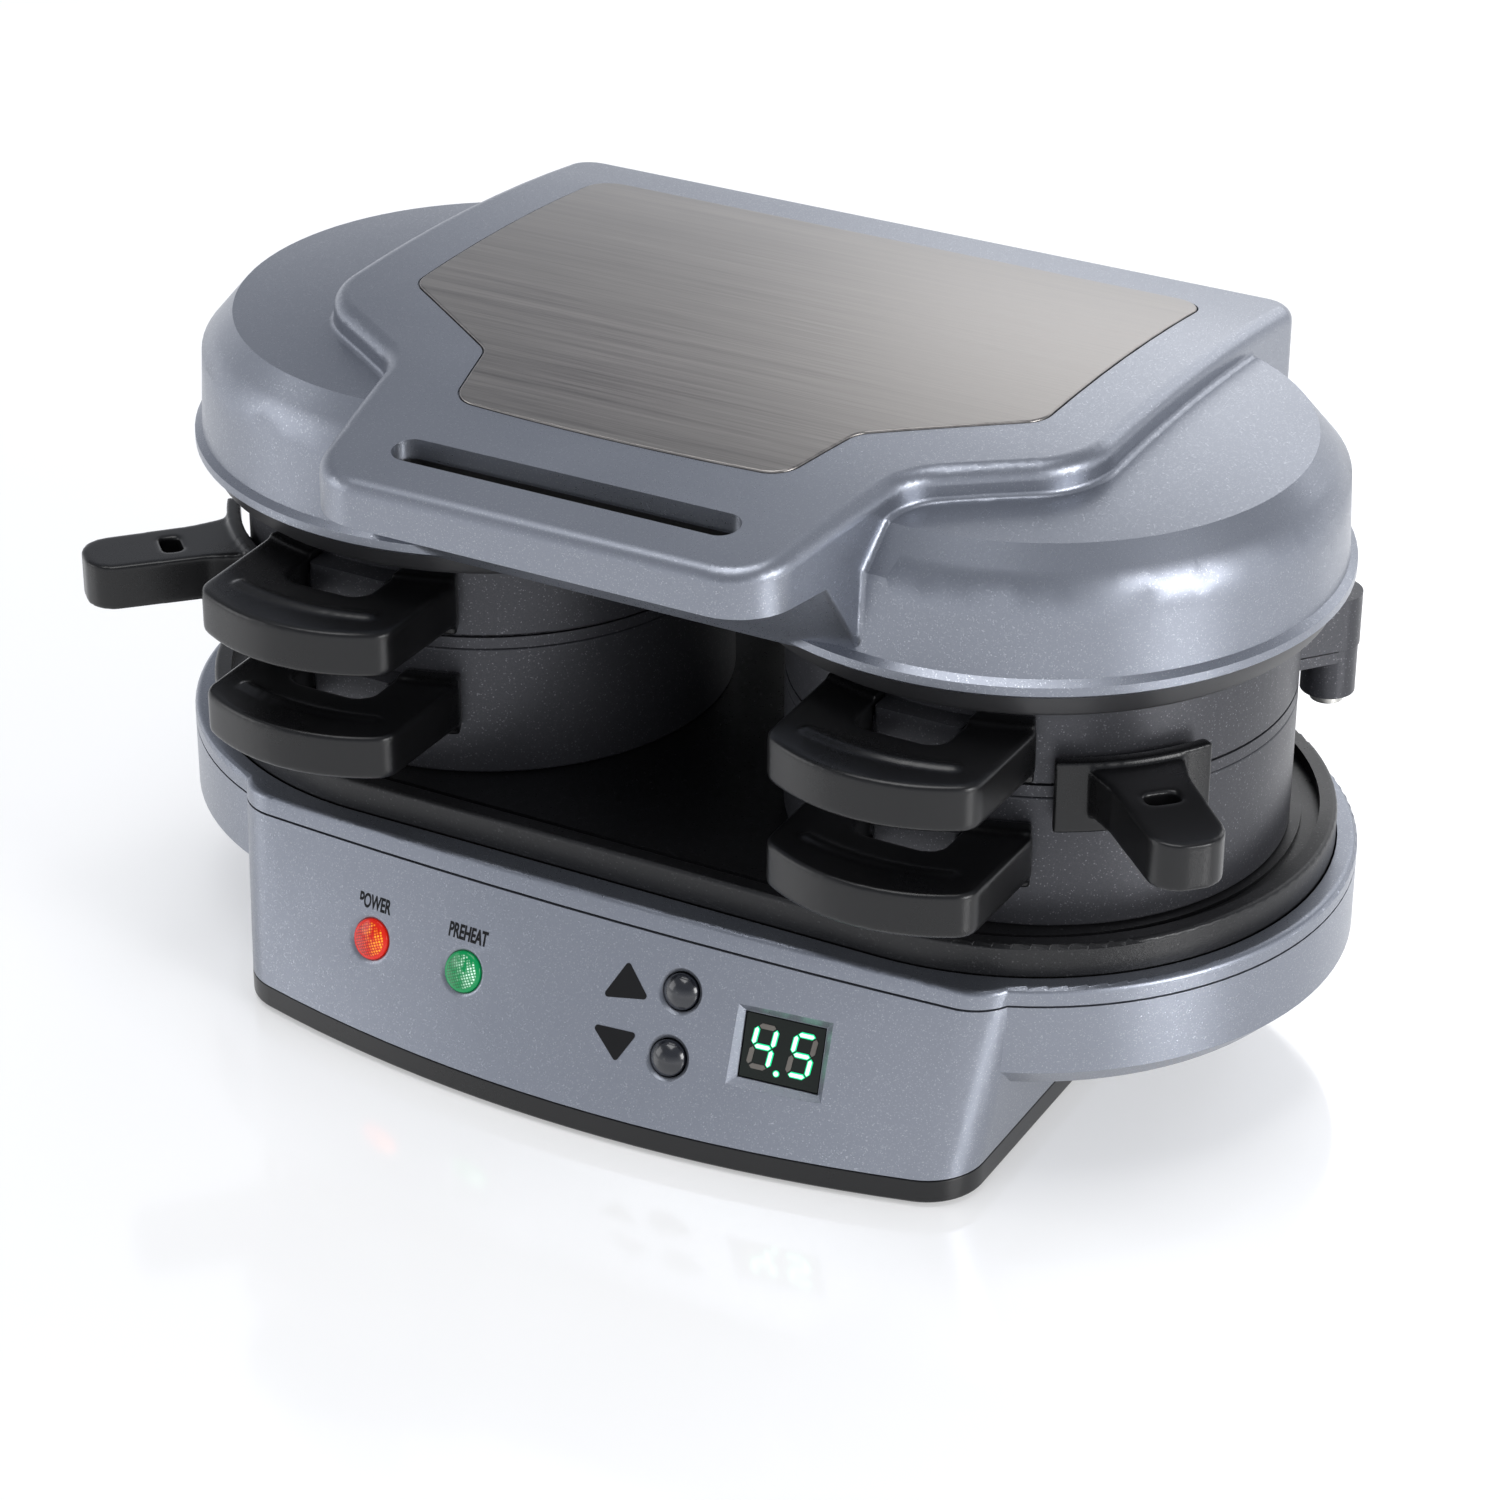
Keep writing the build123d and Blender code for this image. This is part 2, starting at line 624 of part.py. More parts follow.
def loop_handle(low, high):
    """Loop handle for a ring about the Z axis, reaching out along -Y."""
    thick = high - low
    with BuildPart() as loop:
        # curved flange against the ring
        with BuildSketch(Plane.XY.offset(low - 2.4)):
            Circle(flange_outer)
            Circle(ring_outer + 0.05, mode=Mode.SUBTRACT)
            with BuildLine():
                Polyline((0, 0), polar(90, -113.5), (0, -110), polar(90, -66.5), close=True)
            make_face(mode=Mode.INTERSECT)
        extrude(amount=thick + 3.4)
        # the loop
        with BuildSketch(Plane.XY.offset(low)) as loop_plan:
            with BuildLine():
                Line((-25, -56.5), (-24.6, -85))
                ThreePointArc((-24.6, -85), (0, -92.8), (24.6, -85))
                Line((24.6, -85), (25, -56.5))
                Line((25, -56.5), (-25, -56.5))
            make_face()
            fillet(loop_plan.vertices().filter_by_position(Axis.Y, -86, -84), 6)
            Circle(ring_outer + 0.05, mode=Mode.SUBTRACT)
        extrude(amount=thick)
        fillet(loop.edges().filter_by_position(Axis.Z, high - 0.01, high + 0.01).filter_by_position(Axis.Y, -95, -62), 1.2)
        fillet(loop.edges().filter_by_position(Axis.Z, low - 0.01, low + 0.01).filter_by_position(Axis.Y, -95, -62), 1.2)
        # finger gap and the room for the ring's boss
        with BuildSketch(Plane.XY.offset(low - 5)):
            with Locations((0, -61)):
                RectangleRounded(21.6, 24, 4.5)
        extrude(amount=thick + 10, mode=Mode.SUBTRACT)
        # pockets for the ring's tenons, and the screw holes from below
        middle = low + thick / 2
        with BuildSketch(Plane.XY.offset(middle - tenon_thick / 2)):
            with Locations((0, -57.6)):
                Rectangle(2 * tenon_half, 7.2)
        extrude(amount=tenon_thick, mode=Mode.SUBTRACT)
        for dx in (-screw_x, screw_x):
            with Locations((dx, screw_y, middle - 2)):
                Cylinder(1.4, thick - 2, mode=Mode.SUBTRACT)
            with Locations((dx, screw_y, low - 1.2)):
                Cylinder(2.7, 5, mode=Mode.SUBTRACT)
        # raised bar along the front
        with BuildSketch(Plane.XY.offset(high)):
            with BuildLine():
                ThreePointArc((-17, -78.4), (0, -81.2), (17, -78.4))
                ThreePointArc((17, -78.4), (17.9, -79.6), (17.2, -80.6))
                ThreePointArc((17.2, -80.6), (0, -83.4), (-17.2, -80.6))
                ThreePointArc((-17.2, -80.6), (-17.9, -79.6), (-17, -78.4))
            make_face()
        extrude(amount=0.8)
    return loop.part


def screw_pair(low, high):
    middle = (low + high) / 2
    with BuildPart() as screws:
        for dx in (-screw_x, screw_x):
            with Locations((dx, screw_y, (low + middle) / 2 + 2)):
                Cylinder(1.4, middle - low)
            with Locations((dx, screw_y, low + 0.4)):
                Cylinder(2.6, 1.8)
            with Locations((dx, screw_y, low - 0.5)):
                Box(0.8, 3.4, 1.4, mode=Mode.SUBTRACT)
                Box(3.4, 0.8, 1.4, mode=Mode.SUBTRACT)
    return screws.part


def lever_part():
    """Thumb lever with its curved escutcheon, for a ring about the Z axis."""
    with BuildPart() as lever:
        with BuildSketch(Plane.XY.offset(82.8)):
            Circle(62.2)
            Circle(59.0, mode=Mode.SUBTRACT)
            with BuildLine():
                Polyline((0, 0), polar(90, lever_angle - 16.5), polar(95, lever_angle), polar(90, lever_angle + 16.5), close=True)
            make_face(mode=Mode.INTERSECT)
        extrude(amount=17)
        tongue = Plane(origin=(0, 0, 87.2), x_dir=(*polar(1, lever_angle), 0), z_dir=(0, 0, 1))
        with BuildSketch(tongue) as tongue_plan:
            with BuildLine():
                Polyline((60, -11), (64, -10), (70, -8.8), (97, -8.2), (97, 8.2), (70, 8.8), (64, 10), (60, 11), close=True)
            make_face()
            fillet(tongue_plan.vertices().group_by(SortBy.DISTANCE)[-1], 7)
        extrude(amount=11.0)
        with BuildSketch(tongue.offset(6)):
            with Locations((76.5, 0)):
                RectangleRounded(4.6, 7.6, 1.6)
        extrude(amount=20, mode=Mode.SUBTRACT)
    return lever.part


egg_tab_z = 79.6


def egg_plate_part():
    """Sliding plate for a ring about the Z axis, with the ear it swings on."""
    with BuildPart() as plate:
        with Locations((0, 0, (plate_z + plate_top) / 2)):
            Cylinder(ring_outer, plate_top - plate_z)
        px, py = polar(pivot_r, pivot_angle)
        with BuildSketch(Plane.XY.offset(plate_z)):
            with BuildLine():
                Polyline(polar(50, pivot_angle - 12), (px + 4, py - 5), (px - 4.2, py + 4.8), polar(50, pivot_angle + 12), close=True)
            make_face()
            with Locations((px, py)):
                Circle(6.2)
        extrude(amount=plate_top - plate_z)
        with Locations((px, py, (egg_tab_z + plate_z) / 2)):
            Cylinder(6.2, plate_z - egg_tab_z)
        # neck that carries the lever
        neck = Plane(origin=(0, 0, plate_z), x_dir=(*polar(1, lever_angle), 0), z_dir=(0, 0, 1))
        with BuildSketch(neck):
            with Locations((56, 0)):
                Rectangle(9, 24)
            Circle(59.0, mode=Mode.INTERSECT)
        extrude(amount=plate_top - plate_z)
        for z in (plate_top, plate_z + 0.7):
            with BuildSketch(Plane.XY.offset(z)):
                Circle(52)
            extrude(amount=-0.7, mode=Mode.SUBTRACT)
        with Locations((px, py, 85)):
            Cylinder(2.06, 30, mode=Mode.SUBTRACT)
    return plate.part


def pivot_pin_part():
    px, py = polar(pivot_r, pivot_angle)
    with BuildPart() as pivot:
        with Locations((px, py, 91)):
            Cylinder(2.0, 24)
        with Locations((px, py, 78.2)):
            Cylinder(3.8, 2.2)
    return pivot.part


def upper_ear_part():
    px, py = polar(pivot_r, pivot_angle)
    with BuildPart() as ear:
        with BuildSketch(Plane.XY.offset(upper_z)):
            with BuildLine():
                Polyline(polar(56, pivot_angle - 9), (px + 4, py - 5), (px - 4.2, py + 4.8), polar(56, pivot_angle + 9), close=True)
            make_face()
            with Locations((px, py)):
                Circle(6.5)
            Circle(ring_outer - 0.5, mode=Mode.SUBTRACT)
        extrude(amount=12.5)
        with Locations((px, py, 95)):
            Cylinder(2.0, 16, mode=Mode.SUBTRACT)
    return ear.part


upper_lug = [(58, 92.5), (58, 103), (75, 103), (86.5, 90), (86.5, 66), (80.6, 66), (80.6, 80), (70, 92.5)]
lower_lug = [(60, 63), (60, 79), (74, 79), (90, 71), (87, 60), (80, 60.6)]

for side, word in ((-1, "left"), (1, "right")):
    here = Location((side * ring_x, ring_y, 0))

    def place(part):
        """Right-hand parts as drawn, left-hand parts mirrored, moved to their station."""
        return here * (part if side > 0 else mirror(part, about=Plane.YZ))

    ring_blank = place(ring_body(upper_z, upper_top, 97.4, 106.8))
    ear = place(upper_ear_part())
    lug_a = hinge_lug(upper_lug, 48 if side > 0 else -57, 9, side)
    lug_b = hinge_lug(upper_lug, 84.5 if side > 0 else -90, 5.5, side)
    with BuildPart() as upper_ring:
        add([ring_blank, ear, lug_a, lug_b])
    save(upper_ring.part, f"{word}_upper_ring")

    ring_blank = place(ring_body(lower_z, lower_top, 71.95, 81.35))
    lug_a = hinge_lug(lower_lug, 60 if side > 0 else -82, 22, side)
    with BuildPart() as lower_ring:
        add([ring_blank, lug_a])
    save(lower_ring.part, f"{word}_lower_ring")

    save(place(loop_handle(96.7, 107.5)), f"{word}_upper_handle")
    save(place(loop_handle(71.3, 82.0)), f"{word}_lower_handle")
    save(place(screw_pair(96.7, 107.5)), f"{word}_upper_screws")
    save(place(screw_pair(71.3, 82.0)), f"{word}_lower_screws")
    save(place(egg_plate_part()), f"{word}_egg_plate")
    save(place(lever_part()), f"{word}_egg_lever")
    save(place(pivot_pin_part()), f"{word}_pivot_pin")
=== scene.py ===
import bpy
import bmesh
import math
from mathutils import Euler, Matrix, Vector


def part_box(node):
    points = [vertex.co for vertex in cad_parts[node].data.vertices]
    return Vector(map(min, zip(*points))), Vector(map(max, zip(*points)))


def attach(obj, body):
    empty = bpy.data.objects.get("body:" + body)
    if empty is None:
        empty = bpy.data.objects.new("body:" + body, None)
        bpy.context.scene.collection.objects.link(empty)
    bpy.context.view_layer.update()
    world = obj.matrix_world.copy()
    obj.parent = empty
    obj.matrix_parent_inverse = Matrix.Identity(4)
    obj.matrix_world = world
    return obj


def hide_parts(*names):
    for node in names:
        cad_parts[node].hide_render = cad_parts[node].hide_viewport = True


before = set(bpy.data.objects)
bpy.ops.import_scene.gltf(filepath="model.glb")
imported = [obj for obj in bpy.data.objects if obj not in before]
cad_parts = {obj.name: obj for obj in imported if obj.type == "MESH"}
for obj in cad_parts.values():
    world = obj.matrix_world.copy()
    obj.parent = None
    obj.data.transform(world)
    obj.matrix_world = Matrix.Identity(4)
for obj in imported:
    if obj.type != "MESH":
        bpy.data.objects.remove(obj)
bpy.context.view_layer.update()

# three quarters from the front right, looking down a little
cameraSetup = {
    "place": (0.43345, -0.80452, 0.55300),
    "turn": (61.377, -0.233, 28.334),   # degrees
    "lens": 108.0,                      # millimetres, as the sensor is
    "sensor": 36.0,
    "clip": (0.05, 30),
}


def makeCamera():
    data = bpy.data.cameras.new("camera")
    data.lens = cameraSetup["lens"]
    data.sensor_width = cameraSetup["sensor"]
    data.clip_start, data.clip_end = cameraSetup["clip"]
    camera = bpy.data.objects.new("camera", data)
    camera.location = cameraSetup["place"]
    camera.rotation_euler = Euler([math.radians(a) for a in cameraSetup["turn"]])
    bpy.context.scene.collection.objects.link(camera)
    bpy.context.scene.camera = camera


makeCamera()
print("camera ready")

# the Mix node keeps one set of sockets for each data type; these are the colour ones
mixSockets = {"factor": 0, "first": 6, "second": 7, "result": 2}


def nodeTree(owner):
    return owner.nodes, owner.links


def makeGroup(name, inputs, outputs):
    group = bpy.data.node_groups.new(name, "ShaderNodeTree")
    for title, kind, value in inputs:
        socket = group.interface.new_socket(name=title, in_out="INPUT", socket_type=kind)
        socket.default_value = value
    for title, kind in outputs:
        group.interface.new_socket(name=title, in_out="OUTPUT", socket_type=kind)
    first = group.nodes.new("NodeGroupInput")
    last = group.nodes.new("NodeGroupOutput")
    return group, first, last


def feed(links, socket, value):   # a number or a colour is set, an output is linked
    if isinstance(value, (int, float, tuple)):
        socket.default_value = value
    else:
        links.new(value, socket)


def mathNode(nodes, links, kind, *values, clamp=False):
    node = nodes.new("ShaderNodeMath")
    node.operation = kind
    node.use_clamp = clamp
    for socket, value in zip(node.inputs, values):
        feed(links, socket, value)
    return node.outputs[0]


def mixColor(nodes, links, factor, first, second):
    node = nodes.new("ShaderNodeMix")
    node.data_type = "RGBA"
    for key, value in (("factor", factor), ("first", first), ("second", second)):
        feed(links, node.inputs[mixSockets[key]], value)
    return node.outputs[mixSockets["result"]]


def mapRange(nodes, links, value, low, high, toLow=0.0, toHigh=1.0):
    node = nodes.new("ShaderNodeMapRange")
    for title, number in (("Value", value), ("From Min", low), ("From Max", high),
                          ("To Min", toLow), ("To Max", toHigh)):
        feed(links, node.inputs[title], number)
    return node.outputs["Result"]


def noise(nodes, links, vector, scale, detail=2.0, rough=0.5):
    node = nodes.new("ShaderNodeTexNoise")
    for title, value in (("Vector", vector), ("Scale", scale),
                         ("Detail", detail), ("Roughness", rough)):
        feed(links, node.inputs[title], value)
    return node.outputs["Fac"]


# what every surface effect puts out
surfaceOutputs = [("Color", "NodeSocketColor"), ("Roughness", "NodeSocketFloat"),
                  ("Height", "NodeSocketFloat")]

# metallic paint and speckled coatings: cells of slightly different tone, a few of them bright
fleckLook = {
    "cellTone": 0.10, "cloudTone": 0.08, "cloudEdges": (0.3, 0.7),
    "smudge": (-0.03, 0.05), "glint": -0.12,
    "peelShare": 0.22,    # the paint's ripple, as a share of the grain scale
    "cellHeight": 0.35,
}


def fleckGroup():
    group, first, last = makeGroup("metalFleck", [
        ("Vector", "NodeSocketVector", (0, 0, 0)),
        ("Base", "NodeSocketColor", (0.2, 0.2, 0.2, 1)),
        ("Fleck", "NodeSocketColor", (0.8, 0.8, 0.8, 1)),
        ("Grain Scale", "NodeSocketFloat", 5000.0),
        ("Fleck Share", "NodeSocketFloat", 0.15),
        ("Roughness", "NodeSocketFloat", 0.4),
        ("Cloud Scale", "NodeSocketFloat", 22.0),
    ], surfaceOutputs)
    nodes, links = nodeTree(group)
    vector = first.outputs["Vector"]
    cells = nodes.new("ShaderNodeTexVoronoi")
    links.new(vector, cells.inputs["Vector"])
    links.new(first.outputs["Grain Scale"], cells.inputs["Scale"])
    split = nodes.new("ShaderNodeSeparateColor")
    links.new(cells.outputs["Color"], split.inputs[0])
    edge = mathNode(nodes, links, "SUBTRACT", 1.0, first.outputs["Fleck Share"])
    mask = mapRange(nodes, links, split.outputs[0], edge, 1.0)
    tone = mapRange(nodes, links, split.outputs[1], 0.0, 1.0, 0.0, fleckLook["cellTone"])
    cloud = noise(nodes, links, vector, first.outputs["Cloud Scale"], 3.0)
    shade = mapRange(nodes, links, cloud, *fleckLook["cloudEdges"], 0.0, fleckLook["cloudTone"])
    total = mathNode(nodes, links, "ADD", tone, shade)
    toned = mixColor(nodes, links, total, first.outputs["Base"], first.outputs["Fleck"])
    flecked = mixColor(nodes, links, mask, toned, first.outputs["Fleck"])
    links.new(flecked, last.inputs["Color"])
    smudge = mapRange(nodes, links, cloud, *fleckLook["cloudEdges"], *fleckLook["smudge"])
    glint = mathNode(nodes, links, "MULTIPLY", mask, fleckLook["glint"])
    rough = mathNode(nodes, links, "ADD", first.outputs["Roughness"], smudge)
    links.new(mathNode(nodes, links, "ADD", rough, glint, clamp=True), last.inputs["Roughness"])
    peelScale = mathNode(nodes, links, "MULTIPLY",
                         first.outputs["Grain Scale"], fleckLook["peelShare"])
    peel = noise(nodes, links, vector, peelScale)
    high = mathNode(nodes, links, "MULTIPLY_ADD", split.outputs[2], fleckLook["cellHeight"], peel)
    links.new(high, last.inputs["Height"])
    return group


# moulded plastic, rubber and print: a fine grain, rubbed lighter in patches
grainLook = {
    "cloudScale": 26.0, "rubScale": 160.0, "patchEdges": (0.42, 0.68),
    "wear": 0.7, "fineRoughness": 0.06,
}


def grainGroup():
    group, first, last = makeGroup("mouldGrain", [
        ("Vector", "NodeSocketVector", (0, 0, 0)),
        ("Base", "NodeSocketColor", (0.02, 0.02, 0.02, 1)),
        ("Worn", "NodeSocketColor", (0.05, 0.05, 0.05, 1)),
        ("Grain Scale", "NodeSocketFloat", 2400.0),
        ("Roughness", "NodeSocketFloat", 0.4),
        ("Smudge", "NodeSocketFloat", 0.08),
    ], surfaceOutputs)
    nodes, links = nodeTree(group)
    vector = first.outputs["Vector"]
    grain = noise(nodes, links, vector, first.outputs["Grain Scale"], 3.0, 0.6)
    cloud = noise(nodes, links, vector, grainLook["cloudScale"], 4.0, 0.55)
    rub = noise(nodes, links, vector, grainLook["rubScale"], 3.0, 0.6)
    cloudPatch = mapRange(nodes, links, cloud, *grainLook["patchEdges"])
    patch = mathNode(nodes, links, "MULTIPLY", cloudPatch, rub)
    wear = mathNode(nodes, links, "MULTIPLY", patch, grainLook["wear"])
    worn = mixColor(nodes, links, wear, first.outputs["Base"], first.outputs["Worn"])
    links.new(worn, last.inputs["Color"])
    swing = mathNode(nodes, links, "MULTIPLY_ADD",
                     patch, first.outputs["Smudge"], first.outputs["Roughness"])
    fine = mathNode(nodes, links, "MULTIPLY_ADD", grain, grainLook["fineRoughness"], swing)
    links.new(fine, last.inputs["Roughness"])
    links.new(grain, last.inputs["Height"])
    return group


# brushed metal: noise drawn out from side to side
brushLook = {
    "stretch": (0.012, 1.0, 0.35), "wideShare": 0.16, "wideWeight": 0.4, "fineWeight": 0.6,
    "toneEdges": (0.36, 0.64), "swingEdges": (0.35, 0.65), "swing": (-0.05, 0.08),
}


def brushGroup():
    group, first, last = makeGroup("brushLines", [
        ("Vector", "NodeSocketVector", (0, 0, 0)),
        ("Light", "NodeSocketColor", (0.6, 0.58, 0.56, 1)),
        ("Dark", "NodeSocketColor", (0.4, 0.38, 0.36, 1)),
        ("Line Scale", "NodeSocketFloat", 2600.0),
        ("Roughness", "NodeSocketFloat", 0.3),
    ], surfaceOutputs)
    nodes, links = nodeTree(group)
    squeeze = nodes.new("ShaderNodeMapping")
    squeeze.inputs["Scale"].default_value = brushLook["stretch"]
    links.new(first.outputs["Vector"], squeeze.inputs["Vector"])
    fine = noise(nodes, links, squeeze.outputs[0], first.outputs["Line Scale"], 3.0, 0.65)
    wideScale = mathNode(nodes, links, "MULTIPLY",
                         first.outputs["Line Scale"], brushLook["wideShare"])
    wide = noise(nodes, links, squeeze.outputs[0], wideScale)
    finePart = mathNode(nodes, links, "MULTIPLY", fine, brushLook["fineWeight"])
    both = mathNode(nodes, links, "MULTIPLY_ADD", wide, brushLook["wideWeight"], finePart)
    tone = mapRange(nodes, links, both, *brushLook["toneEdges"])
    lined = mixColor(nodes, links, tone, first.outputs["Dark"], first.outputs["Light"])
    links.new(lined, last.inputs["Color"])
    swing = mapRange(nodes, links, both, *brushLook["swingEdges"], *brushLook["swing"])
    rough = mathNode(nodes, links, "ADD", first.outputs["Roughness"], swing)
    links.new(rough, last.inputs["Roughness"])
    links.new(fine, last.inputs["Height"])
    return group


# lens: rows of small pyramids that glow as a lit lamp; the light of its lamp, which sits to the
# right behind them, is painted into the colour and the glow: painted highlights on the facet tips
# towards it, painted shade in the facet feet away from it
facetLook = {
    "patchShare": 0.55, "patchEdges": (0.40, 0.62),
    "litSide": (-0.35, 0.55),                  # across the lens, in radii
    "tip": (0.42, 0.18), "foot": (0.30, 0.46),  # 0 at a facet's tip, 0.5 at its foot
    "footShade": (0.15, 0.85),
    "rim": (0.80, 0.86),                       # from the middle, in radii
}


def cellGroup():
    group, first, last = makeGroup("lensCells", [
        ("Vector", "NodeSocketVector", (0, 0, 0)),
        ("Painted Shade", "NodeSocketColor", (0.1, 0.0, 0.0, 1)),
        ("Mid", "NodeSocketColor", (0.8, 0.05, 0.02, 1)),
        ("Painted Highlight", "NodeSocketColor", (1.0, 0.6, 0.1, 1)),
        ("Cells Per Metre", "NodeSocketFloat", 1500.0),
        ("Radius", "NodeSocketFloat", 0.0047),
    ], [("Color", "NodeSocketColor"), ("Glow", "NodeSocketColor"), ("Height", "NodeSocketFloat")])
    nodes, links = nodeTree(group)
    vector = first.outputs["Vector"]
    perMetre, radius = first.outputs["Cells Per Metre"], first.outputs["Radius"]
    shadeColor, mid, highlightColor = (first.outputs[title] for title in ("Painted Shade", "Mid", "Painted Highlight"))
    axes = nodes.new("ShaderNodeSeparateXYZ")
    links.new(vector, axes.inputs[0])
    cell = []
    for output in (0, 1):
        stretched = mathNode(nodes, links, "MULTIPLY", axes.outputs[output], perMetre)
        part = mathNode(nodes, links, "FRACT", stretched)
        offset = mathNode(nodes, links, "SUBTRACT", part, 0.5)
        cell.append(mathNode(nodes, links, "ABSOLUTE", offset))
    pyramid = mathNode(nodes, links, "MAXIMUM", *cell)
    patchScale = mathNode(nodes, links, "MULTIPLY", perMetre, facetLook["patchShare"])
    patch = noise(nodes, links, vector, patchScale, 1.0)
    reach = mathNode(nodes, links, "DIVIDE", axes.outputs[0], radius)
    side = mapRange(nodes, links, reach, *facetLook["litSide"])
    patchMask = mapRange(nodes, links, patch, *facetLook["patchEdges"])
    lit = mathNode(nodes, links, "MULTIPLY", side, patchMask)
    # painted highlight: the facet tips on the lamp's side
    tip = mapRange(nodes, links, pyramid, *facetLook["tip"])
    paintedHighlight = mathNode(nodes, links, "MULTIPLY", lit, tip, clamp=True)
    # painted shade: the facet feet, deeper away from the lamp
    foot = mapRange(nodes, links, pyramid, *facetLook["foot"])
    footDepth = mapRange(nodes, links, side, 1.0, 0.0, *facetLook["footShade"])
    shade = mathNode(nodes, links, "MULTIPLY", foot, footDepth)
    distance = nodes.new("ShaderNodeVectorMath")
    distance.operation = "LENGTH"
    flat = nodes.new("ShaderNodeCombineXYZ")
    links.new(axes.outputs[0], flat.inputs[0])
    links.new(axes.outputs[1], flat.inputs[1])
    links.new(flat.outputs[0], distance.inputs[0])
    ratio = mathNode(nodes, links, "DIVIDE", distance.outputs["Value"], radius)
    rim = mapRange(nodes, links, ratio, *facetLook["rim"])
    inner = mathNode(nodes, links, "SUBTRACT", 1.0, rim)
    shaded = mathNode(nodes, links, "MULTIPLY", shade, inner)
    paintedHighlightInside = mathNode(nodes, links, "MULTIPLY", paintedHighlight, inner)
    # the painted shade and the painted highlight go into the base colour as well as the glow
    body = mixColor(nodes, links, shaded, mid, shadeColor)
    links.new(mixColor(nodes, links, paintedHighlightInside, body, highlightColor), last.inputs["Color"])
    glow = mixColor(nodes, links, shaded, mid, (0, 0, 0, 1))
    links.new(mixColor(nodes, links, paintedHighlightInside, glow, highlightColor), last.inputs["Glow"])
    links.new(mathNode(nodes, links, "MULTIPLY", pyramid, inner), last.inputs["Height"])
    return group


effects = {
    "fleck": fleckGroup(), "grain": grainGroup(), "brush": brushGroup(), "cells": cellGroup(),
}
print("shared effects ready")


# bump is a strength and a distance in metres; the keywords are the shader's own sockets
def startMaterial(name, effect, values, bump, **sockets):
    material = bpy.data.materials.new(name)
    material.use_nodes = True
    nodes, links = nodeTree(material.node_tree)
    shader = nodes["Principled BSDF"]
    place = nodes.new("ShaderNodeTexCoord")
    group = nodes.new("ShaderNodeGroup")
    group.node_tree = effects[effect]
    links.new(place.outputs["Object"], group.inputs["Vector"])
    for title, value in values.items():
        group.inputs[title].default_value = value
    links.new(group.outputs["Color"], shader.inputs["Base Color"])
    if "Roughness" in group.outputs:
        links.new(group.outputs["Roughness"], shader.inputs["Roughness"])
    relief = nodes.new("ShaderNodeBump")
    relief.inputs["Strength"].default_value, relief.inputs["Distance"].default_value = bump
    links.new(group.outputs["Height"], relief.inputs["Height"])
    links.new(relief.outputs["Normal"], shader.inputs["Normal"])
    for title, value in sockets.items():
        shader.inputs[title.replace("_", " ")].default_value = value
    return material


silverPaint = startMaterial(
    "silverPaint", "fleck",
    {"Base": (0.245, 0.262, 0.305, 1), "Fleck": (0.38, 0.40, 0.44, 1), "Grain Scale": 4600.0,
     "Fleck Share": 0.12, "Roughness": 0.36, "Cloud Scale": 14.0},
    (0.05, 0.00006), Metallic=0.85, Coat_Weight=0.12, Coat_Roughness=0.2)
brushedSteel = startMaterial(
    "brushedSteel", "brush",
    {"Light": (0.34, 0.322, 0.307, 1), "Dark": (0.235, 0.222, 0.212, 1),
     "Line Scale": 2600.0, "Roughness": 0.33},
    (0.16, 0.00005), Metallic=1.0)
satinBlack = startMaterial(
    "satinBlack", "grain",
    {"Base": (0.0045, 0.0045, 0.005, 1), "Worn": (0.010, 0.010, 0.011, 1), "Grain Scale": 2600.0,
     "Roughness": 0.25, "Smudge": 0.12},
    (0.12, 0.00008), Specular_IOR_Level=0.45)
darkPlastic = startMaterial(
    "darkPlastic", "grain",
    {"Base": (0.030, 0.030, 0.032, 1), "Worn": (0.045, 0.045, 0.048, 1), "Grain Scale": 2000.0,
     "Roughness": 0.40, "Smudge": 0.10},
    (0.12, 0.00008))
nonstick = startMaterial(
    "nonstick", "fleck",
    {"Base": (0.048, 0.049, 0.056, 1), "Fleck": (0.17, 0.17, 0.185, 1), "Grain Scale": 3800.0,
     "Fleck Share": 0.06, "Roughness": 0.40, "Cloud Scale": 30.0},
    (0.12, 0.00008), Metallic=0.5)
trayBlack = startMaterial(
    "trayBlack", "fleck",
    {"Base": (0.010, 0.010, 0.011, 1), "Fleck": (0.05, 0.05, 0.052, 1), "Grain Scale": 3000.0,
     "Fleck Share": 0.05, "Roughness": 0.36, "Cloud Scale": 24.0},
    (0.22, 0.00010), Metallic=0.15)
buttonBlack = startMaterial(
    "buttonBlack", "grain",
    {"Base": (0.010, 0.011, 0.015, 1), "Worn": (0.030, 0.034, 0.044, 1), "Grain Scale": 700.0,
     "Roughness": 0.16, "Smudge": 0.10},
    (0.06, 0.00006), Coat_Weight=0.6, Coat_Roughness=0.08)
softRubber = startMaterial(
    "softRubber", "grain",
    {"Base": (0.016, 0.016, 0.016, 1), "Worn": (0.04, 0.04, 0.04, 1), "Grain Scale": 1500.0,
     "Roughness": 0.72, "Smudge": 0.12},
    (0.3, 0.00012))
zincSteel = startMaterial(
    "zincSteel", "brush",
    {"Light": (0.62, 0.61, 0.58, 1), "Dark": (0.42, 0.41, 0.39, 1),
     "Line Scale": 1600.0, "Roughness": 0.32},
    (0.2, 0.00005), Metallic=1.0)
dullSheath = startMaterial(
    "dullSheath", "fleck",
    {"Base": (0.18, 0.17, 0.155, 1), "Fleck": (0.36, 0.33, 0.28, 1), "Grain Scale": 1600.0,
     "Fleck Share": 0.3, "Roughness": 0.55, "Cloud Scale": 60.0},
    (0.3, 0.0001), Metallic=0.8)
boardGreen = startMaterial(
    "boardGreen", "grain",
    {"Base": (0.012, 0.09, 0.035, 1), "Worn": (0.04, 0.20, 0.09, 1), "Grain Scale": 900.0,
     "Roughness": 0.35, "Smudge": 0.1},
    (0.1, 0.00008))
